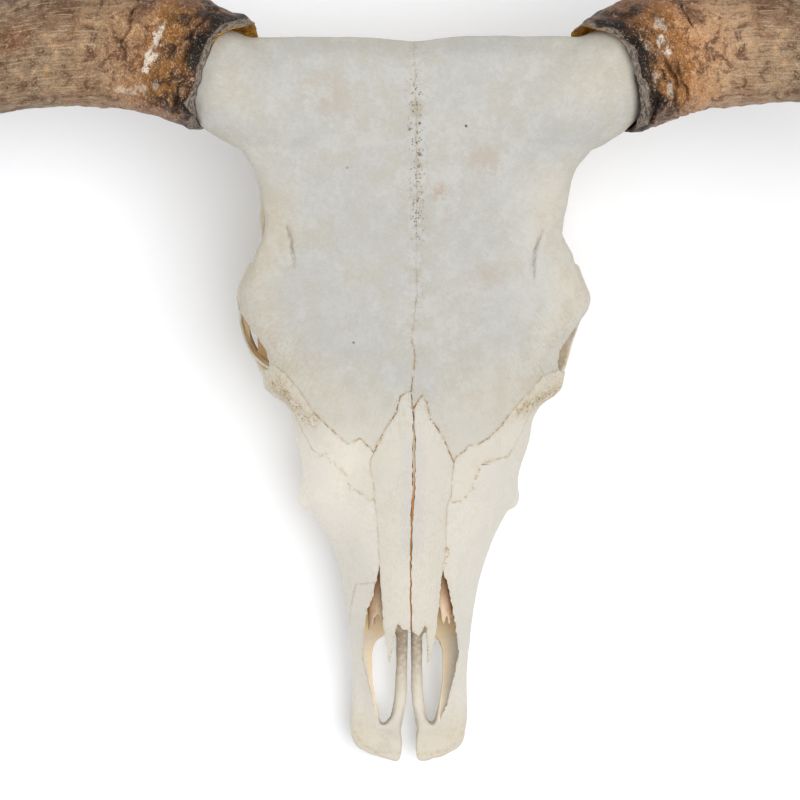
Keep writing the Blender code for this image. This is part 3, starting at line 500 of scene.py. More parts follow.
def side_pieces():
    """The knobs, bars and plates of the +X side."""
    return (
        tube("horn_core", CORE_AXIS, CORE_WIDE, CORE_HIGH, sides=48),
        tube("arch", ((104, 40, 75), (100.5, 70, 78), (98.5, 95, 86), (96, 120, 94), (78, 146, 98)),
             (6, 5, 5.5, 8, 12), (12, 10, 11, 12, 13)),
        ellipsoid("joint_shelf", (78, 116, 90), (28, 17, 10)),
        tube("ear_crest", ((98.5, 154, 94), (99.5, 134, 95), (98.5, 112, 92)), (4.5, 5.5, 4.5), (7, 7, 6)),
        tube("ear", ((45, 146, 86), (75, 150, 86), (98, 151, 90)), (18, 13, 9), (18, 13, 9)),
        ellipsoid("condyle", (29.5, 192, 66), (19, 20, 28), (-20, 0, -12)),
        tube("jugular", ((60, 172, 95), (64, 175, 55), (61, 171, 20), (56, 166, -6)),
             (11, 9.5, 7.5, 6), (16, 14, 10, 7), up=(0, 1, 0)),
        ellipsoid("bulla", (46, 134, 52), (11, 19, 21)),
        tube("bulla_spike", ((46, 134, 46), (47, 122, 34), (48, 112, 24)), (9, 6, 3), (9, 6, 3)),
        tube("base_knob", ((12, 105, 62), (14, 118, 56), (12, 130, 60)), (6, 8, 6), (6, 7, 6)),
        tube("wing_plate", ((26, 0, 52), (23.5, 30, 55), (22, 60, 58), (21, 88, 60)),
             (5, 3.5, 3.5, 3.5), (14, 22, 22, 14)),
        tube("wing_hook", ((22, 74, 50), (22, 84, 36), (23, 92, 28)), (3, 3, 2.5), (6, 5, 3)),
        tube("base_wall", ((30, 50, 85), (34, 85, 78), (36, 115, 74)), (12, 14, 12), (16, 14, 12)),
        ellipsoid("cheek_knob", (71.5, -76.5, 71), (6.5, 9, 7)),
    )


def solid_skull():
    places = (*np.linspace(NOSE_Y, -0.245, 14), *np.linspace(-0.243, 0.083, 110))
    middle = [
        loft_along_y("face", places, face_keys),
        loft_along_y("forehead", np.linspace(0.03, POLL_Y, 60), forehead_keys),
        loft_along_y("brain", np.linspace(0.03, 0.185, 32), brain_keys),
        skin("nape", [nape_ring(z) for z in np.linspace(0.052, 0.20, 40)]),
        ellipsoid("nape_knob", (0, 196, 158), (14, 12, 14)),
        tube("nape_ridge",
             ((-108, 190, 178), (-55, 202, 181), (0, 204, 182), (55, 202, 181), (108, 190, 178)),
             (18, 19, 20, 19, 18), (24, 27, 28, 27, 24)),
        tube("base", ((0, 50, 86), (0, 100, 70), (0, 140, 63), (0, 190, 62)),
             (22, 19, 20, 30), (12, 11, 10, 12)),
    ]
    return fuse([*middle, *both_sides(side_pieces())], "skull", SOFT_ROUNDS)


def hollows():
    """All the hollows as one body."""
    middle = [
        loft_along_y("cavity", np.linspace(-0.25, 0.035, 50), cavity_keys),
        loft_along_y("throat", np.linspace(-0.01, 0.10, 24), throat_keys),
        ellipsoid("spine_hole", (0, 180, 83), (19, 48, 17.5), (-6, 0, 0)),
        prism("fissure", [*FISSURE[0], *reversed(FISSURE[1][1:-1])], -0.02, 0.058),
        prism("nose_gap", [*NOSE_GAP, *other_side(NOSE_GAP[1:-1])], -0.02, 0.058),
    ]
    sides = both_sides((
        ellipsoid("orbit", (97, 40.5, 117), (50, 28, 30), (0, -6, -16)),
        ellipsoid("orbit_back", (75, 76, 116), (18, 34, 26), (0, 0, 12)),
        ellipsoid("orbit_low", (76, 76, 70), (20, 36, 34), (0, 0, 6)),
        ellipsoid("temple", (103, 126, 134), (41, 48, 29)),
        ellipsoid("bar_back", (112, 97.5, 122), (34, 19.5, 33)),
        ellipsoid("ear_hole", (104, 151.5, 91), (16, 4.2, 4.2)),
        ellipsoid("cheek_hole", (54, -112, 51.5), (8, 6, 3.4), (0, 0, -20)),
    ))
    return fuse([*middle, *sides], "hollows", 0, 0.0011)


def palate_rods():
    return both_sides([tube("rod", ((9.6, -240, 30), (6.4, -222, 34), (5.3, -190, 37), (5.6, -150, 40)),
                            (4.8, 4.4, 4.2, 4.6), (6, 4.2, 4, 5))])


def uneven_sides(points):
    """Moves the skull's edges from an even shape to this skull's own outline."""
    x, y, z = points.T
    edge = np.where(y > 0.05, BROW_X(y), CHEEK_X(y))
    out = np.where(x > 0, EDGE_SHIFT[1](y), EDGE_SHIFT[0](y)) * ease(0.45, 0.92, np.abs(x) / edge)
    out *= ease(0.215, 0.185, y) * np.where(y > 0.01, ease(0.10, 0.13, z), 1.0)
    points[:, 0] += np.where(x > 0, out, -out)
    high = ease(0.185, 0.225, y) * ease(0.155, 0.180, z)
    share = ease(-0.03, 0.03, points[:, 0])
    points[:, 1] += high * (POLL_SHIFT[0] * (1 - share) + POLL_SHIFT[1] * share)


def relief(piece):
    """Moves the skull's surface: its unevenness, grooves, rough patches and the dip in the poll."""
    points, normals = read_points(piece)
    x, y, z = points.T
    middle = np.abs(x)
    lift = 0.00045 * layered(points, 0.030, 3, 3) + 0.00016 * layered(points, 0.0085, 2, 11)
    top = ease(0.1, 0.6, normals[:, 2])
    for groove in GROOVE:
        away, share = path_distance(points, groove)
        deep = ease(0.0, 0.25, share) * ease(1.0, 0.72, share)
        lift -= top * 0.0015 * deep * hump(away, 0.0011)
        lift += top * 0.0005 * deep * hump(away - 0.0045, 0.0030)
    for patch in ROUGH_PATCH:
        rough = hump(path_distance(points, patch)[0], 0.0075) * ease(0.095, 0.105, z)
        lift += rough * (0.0009 * noise(points, 0.0036, 5) + 0.0006 * noise(points, 0.0021, 6))
    crest = ease(0.02, 0.10, y)
    lift += top * crest * (0.0008 * hump(middle - 0.006, 0.005) - 0.0007 * hump(middle, 0.0022))
    lift += top * crest * 0.00035 * noise(points, 0.0034, 8) * hump(middle, 0.009)
    ledge, _ = path_distance(np.column_stack([middle, y]), NOSE_LEDGE[:4])
    lift -= ease(0.2, 0.7, normals[:, 2]) * 0.0012 * hump(ledge, 0.0012)
    for centre, size, deep in ((-0.020, 0.016, 0.0011), (0.023, 0.017, 0.0010)):
        lift -= top * deep * hump(x - centre, size) * hump(y - 0.094, 0.020)
    lift += ease(-0.235, -0.258, y) * 0.0004 * noise(points, 0.0045, 9)
    moved = points + normals * lift[:, None]
    moved[:, 1] -= 0.0035 * hump(x, 0.022) * ease(0.185, 0.222, y)
    uneven_sides(moved)
    piece.data.vertices.foreach_set("co", moved.astype(np.float32).ravel())
    piece.data.update()


# ---------------------------------------------------------------- parting the bones
def wavy(path, seed, size=0.0011, closed=False):
    """A path resampled finely, with the small uneven zigzags of a suture."""
    step, length = 0.0006, 0.0026
    path = [np.array(point, float) for point in path]
    if closed:
        path.append(path[0])
    points = []
    for a, b in zip(path, path[1:]):
        count = max(1, int(np.linalg.norm(b - a) / step))
        points += [a + (b - a) * i / count for i in range(count)]
    if not closed:
        points.append(path[-1])
    points = np.array(points)
    flat = np.column_stack([points, np.full(len(points), seed * 0.37)])
    ends = np.ones(len(points))
    if not closed:
        far = np.minimum(np.arange(len(points)), np.arange(len(points))[::-1]) * step
        ends = ease(0.0, 0.003, far)
    for axis in range(2):
        points[:, axis] += ends * size * (0.75 * noise(flat, length, seed + 7 * axis)
                                          + 0.55 * noise(flat, length * 0.42, seed + 3 + 7 * axis))
    return [tuple(point) for point in points]


def seam_share(points):
    """How far open a suture is at each point, as a share of its usual gap."""
    flat = np.column_stack([points, np.zeros(len(points))])
    uneven = np.clip(0.75 + 0.9 * noise(flat, 0.009, 91) + 0.8 * noise(flat, 0.0028, 92), 0.10, 2.0)
    middle = ease(0.008, 0.004, np.abs(points[:, 0])) * ease(0.050, 0.075, points[:, 1])
    nose_side = ease(0.010, 0.015, np.abs(points[:, 0])) * ease(-0.050, -0.062, points[:, 1])
    return uneven * (1 - 0.60 * np.maximum(middle, nose_side))


def grown(outline, by):
    """An outline moved outward by an uneven share; corners move along the mean of their two normals."""
    points = np.array(outline, float)
    turn = np.roll(points, -1, axis=0)
    area = (points[:, 0] * turn[:, 1] - turn[:, 0] * points[:, 1]).sum()
    ahead = turn - points
    ahead /= np.maximum(np.linalg.norm(ahead, axis=1, keepdims=True), 1e-9)
    normal = np.column_stack([ahead[:, 1], -ahead[:, 0]]) * np.sign(area)
    out = normal + np.roll(normal, 1, axis=0)
    out /= np.maximum(np.linalg.norm(out, axis=1, keepdims=True), 1e-3)
    return points + out * by * seam_share(points)[:, None]


def region(outline, axis, low, high, tight=1.0, ends=1.0):
    """Makes the cutter of one bone, grown by the given amount: its outline drawn out along an axis."""
    def maker(by):
        flat = grown(outline, by * tight)
        places = (low - by * ends, high + by * ends)
        return skin("region", [np.insert(flat, axis, place, axis=1) for place in places])
    return maker


def upright(outline, low, high=0.20, tight=1.0):
    return region(outline, 2, low, high, tight)


def crosswise(outline):
    return region(outline, 0, -0.3, 0.3, ends=0.0)


def joined(first, second):
    """A cutter made of two."""
    def maker(by):
        whole = first(by)
        combine(whole, second(by), "UNION")
        return whole
    return maker


def main_body(piece):
    """Keeps an object's largest separate body."""
    mesh = piece.data
    edges = np.empty(len(mesh.edges) * 2, np.int32)
    mesh.edges.foreach_get("vertices", edges)
    edges = edges.reshape(-1, 2)
    label = np.arange(len(mesh.vertices))
    while True:
        low = np.minimum(label[edges[:, 0]], label[edges[:, 1]])
        new = label.copy()
        np.minimum.at(new, edges[:, 0], low)
        np.minimum.at(new, edges[:, 1], low)
        new = new[new]
        if (new == label).all():
            break
        label = new
    names, sizes = np.unique(label, return_counts=True)
    if len(names) == 1:
        return
    shape = bmesh.new()
    shape.from_mesh(mesh)
    shape.verts.ensure_lookup_table()
    gone = np.flatnonzero(label != names[sizes.argmax()])
    bmesh.ops.delete(shape, geom=[shape.verts[i] for i in gone.tolist()], context="VERTS")
    shape.to_mesh(mesh)
    shape.free()


def take(rest, name, cutter):
    """Parts one bone from the rest."""
    bone = add_object(name, rest.data.copy())
    combine(bone, cutter(-SEAM / 2), "INTERSECT")
    main_body(bone)
    combine(rest, cutter(SEAM / 2))
    return bone


def half_skull(skull, side):
    """Everything on one side of the skull's middle suture."""
    path = wavy([(x, y) for y, x in MIDLINE], 21, 0.0013)
    share = seam_share(np.array(path))
    edge = [(x + side * SEAM / 2 * open_by, y) for (x, y), open_by in zip(path, share)]
    half = add_object("half", skull.data.copy())
    combine(half, prism("half", [*edge, (side * 0.4, -0.3), (side * 0.4, 0.3)], -0.05, 0.4), "INTERSECT")
    return half


def sided(outline, side):
    return outline if side > 0 else other_side(outline)


def frontal_region(side):
    outline = [*wavy(FRONTAL_SIDE[:6], 31, 0.0012), *FRONTAL_SIDE[6:]]
    corner = wavy(sided(HORN_CORNER, side), 33, 0.0012, closed=True)
    return joined(crosswise(outline), region(corner, 1, 0.128, 0.300))


def nose_region(side):
    front = wavy(sided(NOSE_FRONT, side), 35, 0.0007, closed=True)
    wing = wavy(sided(NOSE_WING, side), 36, 0.0006, closed=True)
    return joined(upright(front, -0.02, tight=0.5), upright(wing, 0.048, tight=0.5))


def nasal_outline(side, pick):
    """A nasal bone's edge, held clear of the middle by the open gap between the two bones."""
    outer = [*wavy(NASOFRONTAL[pick], 41 + pick, 0.0012), *wavy(NASAL_SIDE[pick], 43 + pick, 0.0005)[1:],
             *wavy(NASAL_TIP[pick], 45 + pick, 0.0004)]
    y = np.linspace(outer[-1][1], outer[0][1], 220)[1:-1]
    spots = np.column_stack([np.zeros(len(y)), y, np.full(len(y), 0.3)])
    wobble = 0.0003 * noise(spots, 0.003, 47 + pick) + 0.0003 * noise(spots, 0.009, 49)
    inner = MIDDLE(y) + side * NASAL_GAP(y) / 2 + wobble
    outer = [(side * max(side * x, side * float(np.interp(place, y, inner))), place) for x, place in outer]
    return [*outer, *zip(inner, y)]


def lacrimal_outline(pick):
    edge = LACRIMAL_EDGE[pick]
    nasal = [point for point in wavy(NASAL_SIDE[pick], 43 + pick, 0.0005) if point[1] > edge[0][1]]
    return [*wavy(FRONTAL_EDGE[pick], 51 + pick, 0.0012), *nasal[1:], *wavy(edge, 55 + pick)[1:]]


def nose_opening(pick):
    """The cutter for one side of the nose's opening, whose jags fade out below the bone's edge."""
    ragged = np.array([*wavy([NASAL_SIDE[pick][-1], *NASAL_TIP[pick]], 45 + pick, 0.0004),
                       *reversed(wavy(APERTURE[pick], 61 + pick, 0.0007))])
    smooth = ragged.copy()
    for _ in range(30):
        smooth = 0.5 * smooth + 0.25 * (np.roll(smooth, 1, axis=0) + np.roll(smooth, -1, axis=0))
    y = ragged[:, 1]
    calm = ragged + (smooth - ragged) * ease(-0.225, -0.205, y)[:, None]
    level = np.ones(len(y))
    return skin("nose_opening", [
        np.column_stack([ragged, level * 0.14]),
        np.column_stack([ragged, np.maximum(SHOULDER_Z(y) + 0.006, APERTURE_LOW + 0.002)]),
        np.column_stack([calm, np.maximum(SHOULDER_Z(y) - 0.002, APERTURE_LOW + 0.001)]),
        np.column_stack([calm, level * APERTURE_LOW])])


def whole_skull():
    skull = solid_skull()
    combine(skull, hollows())
    skull = fuse([skull, *palate_rods()], "skull", SOFT_ROUNDS // 2)
    relief(skull)
    lean_x, lean_y = SLOT_LEAN
    slot = [[(x + lean_x * (z - SLOT_HEIGHT), y + lean_y * (z - SLOT_HEIGHT), z) for x, y in ORBIT_SLOT]
            for z in (-0.02, 0.125)]
    combine(skull, skin("slot", slot))
    combine(skull, tube("ring", ORBIT_RING, (1.4,) * 6 + (1.8,), (3.0,) * 7, 24, 60), "UNION")
    inner = [(x + 2.6, y + 0.2, z - 11.5) for x, y, z in ORBIT_RING]
    combine(skull, tube("ring_wall", inner, (2.0,) * 7, (8.5,) * 7, 24, 60), "UNION")
    combine(skull, prism("floor", ((-0.2, -0.4), (0.2, -0.4), (0.2, 0.4), (-0.2, 0.4)), -0.1, 0.0))
    for pick in (0, 1):
        combine(skull, nose_opening(pick))
    return skull


def part_bones():
    """The finished bones by node name."""
    skull = whole_skull()
    braincase = add_object("braincase", skull.data.copy())
    for cutter in (crosswise(MAXILLA_SIDE), upright(CHEEKBONE, 0.040), upright(other_side(CHEEKBONE), 0.040),
                   frontal_region(-1), frontal_region(1)):
        combine(braincase, cutter(SEAM / 2))
    main_body(braincase)
    made = {"braincase": braincase}
    for pick, (side, word) in enumerate(SIDES):
        half = half_skull(skull, side)
        made[f"nasal_{word}"] = take(half, "nasal", upright(nasal_outline(side, pick), 0.085))
        made[f"lacrimal_{word}"] = take(half, "lacrimal", upright(lacrimal_outline(pick), 0.092))
        made[f"premaxilla_{word}"] = take(half, "premaxilla", nose_region(side))
        made[f"frontal_{word}"] = take(half, "frontal", frontal_region(side))
        made[f"zygomatic_{word}"] = take(half, "zygomatic", upright(sided(CHEEKBONE, side), 0.040, tight=0.6))
        combine(half, crosswise(MAXILLA_SIDE)(-SEAM / 2), "INTERSECT")
        main_body(half)
        made[f"maxilla_{word}"] = half
    bpy.data.objects.remove(skull, do_unlink=True)
    return made


# ---------------------------------------------------------------- fields that drive the bone's colours
def write_fields(piece, numbers, **vectors):
    for name, values in numbers.items():
        field = piece.data.attributes.new(name, "FLOAT", "POINT")
        field.data.foreach_set("value", np.clip(values, 0, 1).astype(np.float32))
    for name, values in vectors.items():
        field = piece.data.attributes.new(name, "FLOAT_VECTOR", "POINT")
        field.data.foreach_set("vector", values.astype(np.float32).ravel())


def toward(points, normals, centre):
    """Near 1 where the surface faces the given centre, 0 where it faces away."""
    aim = centre - points
    aim /= np.maximum(np.linalg.norm(aim, axis=1, keepdims=True), 1e-6)
    return ease(-0.15, 0.35, (aim * normals).sum(axis=1))


def near_either(points, paths, width):
    """1 on the nearer of two paths, fading away from it."""
    return hump(np.minimum(*(path_distance(points, path)[0] for path in paths)), width)


def inside_nose(points, normals):
    """1 on the walls of the nose's hollow, 0 on the outside of the bones around it."""
    x, y, z = points.T
    low, top, wide = CAVITY_LOW(y), CAVITY_TOP(y), CAVITY_X(y)
    across = np.abs(x) / (wide + 0.003)
    upward = np.abs(z - (low + top) / 2) / ((top - low) / 2 + 0.002)
    middle = np.column_stack([x * 0.3, y, (low + top) / 2])
    near = ease(1.03, 0.97, np.maximum(across, upward)) * ease(-0.242, -0.216, y) * ease(0.040, 0.034, y)
    return near * toward(points, normals, middle)


def seam_fields(points, top):
    """Distance to the nearest stained suture as a share of its reach, and how stained that suture is."""
    reach = 0.006
    nearest, strength = np.full(len(points), FAR), np.zeros(len(points))
    middle = [(x, y) for y, x in MIDLINE if -0.03 < y < 0.23]
    stained = [(middle[4:], 0.75), (middle[:5], 0.30)]
    for pick in (0, 1):
        stained += [(NASOFRONTAL[pick], 1.0), (FRONTAL_EDGE[pick][4:], 0.72), (FRONTAL_EDGE[pick][:5], 0.30),
                    (NASAL_SIDE[pick], 0.30)]
    stained.append((other_side(NOSE_WING)[1:5], 0.40))
    for path, much in stained:
        away, _ = path_distance(points, path)
        strength = np.where(away < nearest, much, strength)
        nearest = np.minimum(away, nearest)
    return {"seam": nearest / reach, "seamy": strength * top * (nearest < reach)}


def bone_fields(points, normals):
    """How warm, stained, deep and porous the bone is at each point, and where light and shade are painted on
    it.
    """
    x, y, z = points.T
    wide, up = np.abs(x), normals[:, 2]
    flat = np.column_stack([wide, y])
    top = ease(0.05, 0.45, up)
    outward = ease(-0.6, -0.2, up)
    orbit = np.column_stack([0.060 * np.sign(x), np.full(len(x), 0.036), np.full(len(x), 0.117)])
    round_orbit = np.linalg.norm((points - orbit) * [0, 1, 1] / [1, 0.0335, 0.032], axis=1)
    in_orbit = toward(points, normals, orbit)
    # Painted shade: the inner wall of the orbit at +X, which lies in shade, is darkened in colour and kept
    # out of the lighter hollow coat
    shaded = ease(1.12, 1.00, round_orbit) * in_orbit * ease(0.080, 0.088, x)
    rod = outward * ease(0.0125, 0.0115, wide) * ease(0.060, 0.052, z) * ease(-0.150, -0.168, y)
    rim = near_either(points, (APERTURE[0][:9], APERTURE[1][:9]), 0.0018) * ease(0.03, 0.05, z)
    notch = near_either(points, (NASAL_TIP[0][3:], NASAL_TIP[1][3:]), 0.0016) * ease(0.07, 0.08, z)
    ledge = hump(path_distance(flat, NOSE_LEDGE)[0], 0.0011) * top

    edge = wide / np.where(y > 0.03, BROW_X(y), SHOULDER_X(y))
    warm = most(0.55 * (1 - ease(0.35, 0.85, up)), 0.72 * ease(0.66, 0.95, edge) * ease(0.18, 0.12, y),
                0.45 * ease(0.075, 0.12, wide) * ease(0.16, 0.19, y),
                0.75 * ease(0.165, 0.135, z) * ease(-0.06, 0.02, y), rim, 0.55 * ease(-0.225, -0.250, y))
    pale = ease(0.015, -0.045, y + 0.25 * np.maximum(0.06 - wide, 0) - 0.12 * wide)
    pale *= 1 - 0.6 * ease(-0.215, -0.245, y)
    yellow = [0.8 * hump(x - 0.0243, 0.0022) * ease(-0.106, -0.110, y) * ease(-0.126, -0.120, y) * top,
              0.30 * rim, 0.60 * notch, 0.55 * ledge]
    # Painted shade on the palate rods, darker toward the back where they run in under the nasal bones, and on
    # the shaded orbit wall; the grooves above the orbits are darker along their lines
    shade_and_grooves = [0.95 * rod * ease(-0.222, -0.175, y), 0.60 * shaded]
    pore = top * hump(MIDDLE(y) - x, 0.0050) * ease(0.005, 0.05, y)
    pore *= 0.25 + 0.75 * ease(0.085, 0.110, y) * ease(0.212, 0.190, y)
    for pick, stain in enumerate((0.55, 0.70)):
        yellow.append(stain * top * hump(path_distance(points, LACRIMAL_EDGE[pick][:9])[0], 0.0014))
        patch, _ = path_distance(points, ROUGH_PATCH[pick])
        on_patch = ease(0.09, 0.105, z)
        yellow.append(0.85 * hump(patch, 0.0050) * on_patch)
        pore = most(pore, 0.9 * hump(patch, 0.0036) * on_patch)
        away, share = path_distance(points, GROOVE[pick])
        shade_and_grooves.append(0.75 * top * hump(away, 0.0008) * ease(0.0, 0.15, share) * ease(1, 0.85, share))

    socket = ease(1.10, 0.95, round_orbit) * ease(0.113, 0.104, wide) * ease(0.035, 0.045, wide)
    ring_x = line(*((along / 1000, across / 1000) for across, along, _ in reversed(ORBIT_RING)))(y)
    behind = outward * ease(0.0010, 0.0020, x - ring_x) * ease(-0.092, -0.098, x) * ease(0.011, 0.015, y)
    behind *= ease(0.064, 0.058, y) * ease(0.113, 0.105, z) * ease(0.055, 0.065, z)
    # The deep field covers the nose's hollow, the orbit sockets, the wall behind the ring at -X and, a
    # little, the undersides by the nose tip; it drives painted light and shade in the bone's colour
    deep = inside_nose(points, normals)
    deep *= 0.50 + 0.22 * ease(-0.235, -0.185, y) + 0.28 * ease(-0.172, -0.135, y)
    deep = most(deep, 0.50 * socket * in_orbit, 0.80 * behind) * (1 - 0.85 * rod) * (1 - 0.7 * shaded)
    under = ease(0.0, -0.5, up) * ease(-0.26, -0.20, y)
    # Painted light: the side of the maxilla at -X is given a lighter coat that stands in for light falling on
    # it; a weaker lighter patch lies on the forehead at +X
    lightened = most(ease(-0.035, -0.065, x - 0.25 * (y + 0.10)) * ease(-0.020, -0.055, y),
                    0.32 * ease(0.045, 0.085, x) * ease(0.0, 0.03, y) * ease(0.155, 0.12, y))
    from_poll = np.hypot(x, y - 0.12)
    striped = most(0.85 * ease(0.055, 0.085, wide) * ease(0.07, 0.03, y) * ease(-0.03, -0.005, y),
                   0.2 * ease(0.12, 0.15, from_poll) * ease(-0.03, 0.0, y))
    ray = np.column_stack([np.arctan2(x, 0.12 - y) * 0.11, from_poll * 0.09, z * 0.1])
    on_frontal = ease(-0.06, -0.03, y + 0.2 * wide)[:, None]
    numbers = {"warm": warm, "pale": pale, "yellow": most(*yellow), "shade_and_grooves": most(*shade_and_grooves), "pore": pore,
               "deep": most(deep, 0.16 * under), "striped": striped, "lightened": lightened,
               # Painted shade: a cool grey along the middle of the nasal bones, where their dip lies in shade
               "midline_shade": ease(0.0110, 0.0030, wide) * ease(-0.025, -0.045, y) * ease(-0.130, -0.105, y) * top,
               "tone": 0.5 + 0.42 * layered(points, 0.034, 3, 101),
               "blot": 0.5 + 0.42 * layered(points * [1, 0.8, 1], 0.0085, 3, 111), **seam_fields(points, top)}
    return numbers, ray * on_frontal + points * [1, 0.09, 1] * (1 - on_frontal)


# ---------------------------------------------------------------- horn sheaths
# How far each horn is moved toward the poll, by distance from its rim
HORN_SHIFT = (curve((0, 2.2), (19, 2.2), (34, 2.6), (46, 3.1), (70, 1.3), (104, -2), (133, -5.3), (150, -7.8),
                    (250, -8.5), (480, -6)),
              curve((0, 1.8), (23, 1.8), (42, 2.7), (60, 3.1), (76, 2.3), (100, 2.4), (131, 1.5), (250, 0),
                    (480, 0)))
# How far the rim reaches out over the bone, by place across the horn, from -1 by the nose to 1 by the poll
RIM = (line((-1, 0.0045), (-0.8, 0.0090), (-0.52, 0.0104), (-0.23, 0.0102), (0.05, 0.0101), (0.43, 0.0098),
            (0.75, 0.002), (1, -0.009)),
       line((-1, 0.0060), (-0.8, 0.0112), (-0.52, 0.0129), (-0.23, 0.0139), (0.05, 0.0137), (0.43, 0.0130),
            (0.75, 0.004), (1, -0.009)))
RIM_BELOW = 0.012
# Grooves across each horn: distance from the rim, half width, and the stretch across the horn
GROOVES = (((0.0150, 0.0012, -0.9, 0.8), (0.0480, 0.0010, -0.45, 0.40), (0.0620, 0.0009, -0.25, 0.80),
            (0.0850, 0.0008, 0.50, 1.0)),
           ((0.0130, 0.0012, -1.0, -0.30), (0.0330, 0.0016, -0.98, -0.05), (0.0415, 0.0012, -0.95, -0.25),
            (0.0560, 0.0007, 0.30, 0.9)))
# Pale worn spots: distance from the rim, place across the horn, half length, half width, strength
PALE_SPOTS = (((0.0425, 0.12, 0.0046, 0.22, 1.0), (0.0455, -0.16, 0.0034, 0.26, 0.95),
               (0.0340, -0.55, 0.0030, 0.10, 0.4), (0.0580, -0.76, 0.0100, 0.07, 0.4),
               (0.0470, -0.68, 0.0060, 0.08, 0.5)),
              ((0.0150, 0.20, 0.0030, 0.09, 0.7), (0.0300, 0.24, 0.0036, 0.12, 0.8),
               (0.0325, 0.06, 0.0036, 0.10, 0.9), (0.0160, -0.34, 0.0022, 0.14, 0.4),
               (0.0350, 0.52, 0.0050, 0.12, 0.5), (0.0270, -0.55, 0.0025, 0.16, 0.5)))


def horn_frame(distance):
    """Centre, forward, back and over directions on the horn's axis at each distance, and its length."""
    at, _ = spline(HORN_AXIS, 400)
    along = np.concatenate([[0], np.cumsum(np.linalg.norm(np.diff(at, axis=0), axis=1))])
    ahead = np.gradient(at, axis=0)
    ahead /= np.linalg.norm(ahead, axis=1, keepdims=True)
    centre, forward = (np.column_stack([np.interp(distance, along, axis) for axis in table.T])
                       for table in (at, ahead))
    back = np.cross([0, 0, 1], forward)
    back /= np.linalg.norm(back, axis=1, keepdims=True)
    return centre, forward, back, np.cross(forward, back), along[-1]


def horn_surface(s, turn, seed, pick):
    """Relief and colour fields on the horn for each distance s from its rim and turn round its axis."""
    cosine, sine = np.cos(turn), np.sin(turn)
    flat = np.column_stack([s, cosine * 0.04, sine * 0.04])
    near = s + 0.004 * layered(flat, 0.030, 3, seed)
    base = np.exp(-np.maximum(s, 0) / 0.11)
    rise = 0.0013 * layered(flat, 0.026, 3, seed + 5) * (0.25 + base)
    rise += 0.00018 * np.sin(2 * math.pi * near / 0.0125) * base
    rise += 0.00020 * layered(flat * [0.12, 1, 1], 0.0042, 2, seed + 9)
    scaly = ease(0.008, 0.016, s) * ease(0.10, 0.05, s) * (1 - ease(-0.75, -0.95, cosine))
    rise += (0.0004 + 0.0007 * scaly) * layered(flat, 0.0068, 3, seed + 13) * ease(0.30, 0.10, s)
    crack = np.zeros(len(s))
    for number, (place, wide, low, high) in enumerate(GROOVES[pick]):
        off = s - place - 0.0050 * layered(flat * [0, 1, 1], 0.020, 3, seed + 20 + number)
        there = ease(low - 0.12, low + 0.12, cosine) * ease(high + 0.12, high - 0.12, cosine) * (sine > -0.2)
        there *= 0.45 + 0.55 * ease(-0.3, 0.3, noise(flat + number, 0.007, seed + 30 + number))
        crack = most(crack, there * hump(off, wide))
        rise += 0.0009 * there * hump(np.abs(off) - 2.3 * wide, 1.3 * wide)
    rise -= 0.0019 * crack
    rise -= 0.0034 * ease(0.0075, 0.0, s)
    rise += 0.0004 * ease(0.009, 0.0, s) * noise(flat * [1, 0.5, 0.5], 0.0022, seed + 41)
    edge = near + 0.0020 * noise(flat, 0.008, seed + 50)
    blotch = ease(0.10, 0.42, layered(flat * [1, 0.8, 0.8], 0.0095, 3, seed + 52))
    band = near + 0.011 * noise(flat, 0.013, seed + 54)
    black = most(ease(0.0040, 0.0054, edge) * ease(0.0160, 0.0085, band),
                 0.8 * blotch * ease(0.008, 0.012, s) * ease(0.048, 0.026, s))
    uneven = 0.75 * layered(flat, 0.0052, 3, seed + 60)
    white = np.zeros(len(s))
    for place, across, long, wide, much in PALE_SPOTS[pick]:
        away = np.hypot((s - place) / long, (cosine - across) / wide) + uneven
        white = most(white, much * ease(1.10, 0.50, away) * (sine > 0))
    rise += 0.0005 * white
    return rise, {"black": black, "white": white, "crack": crack, "fringe": ease(0.0050, 0.0038, edge)}, flat


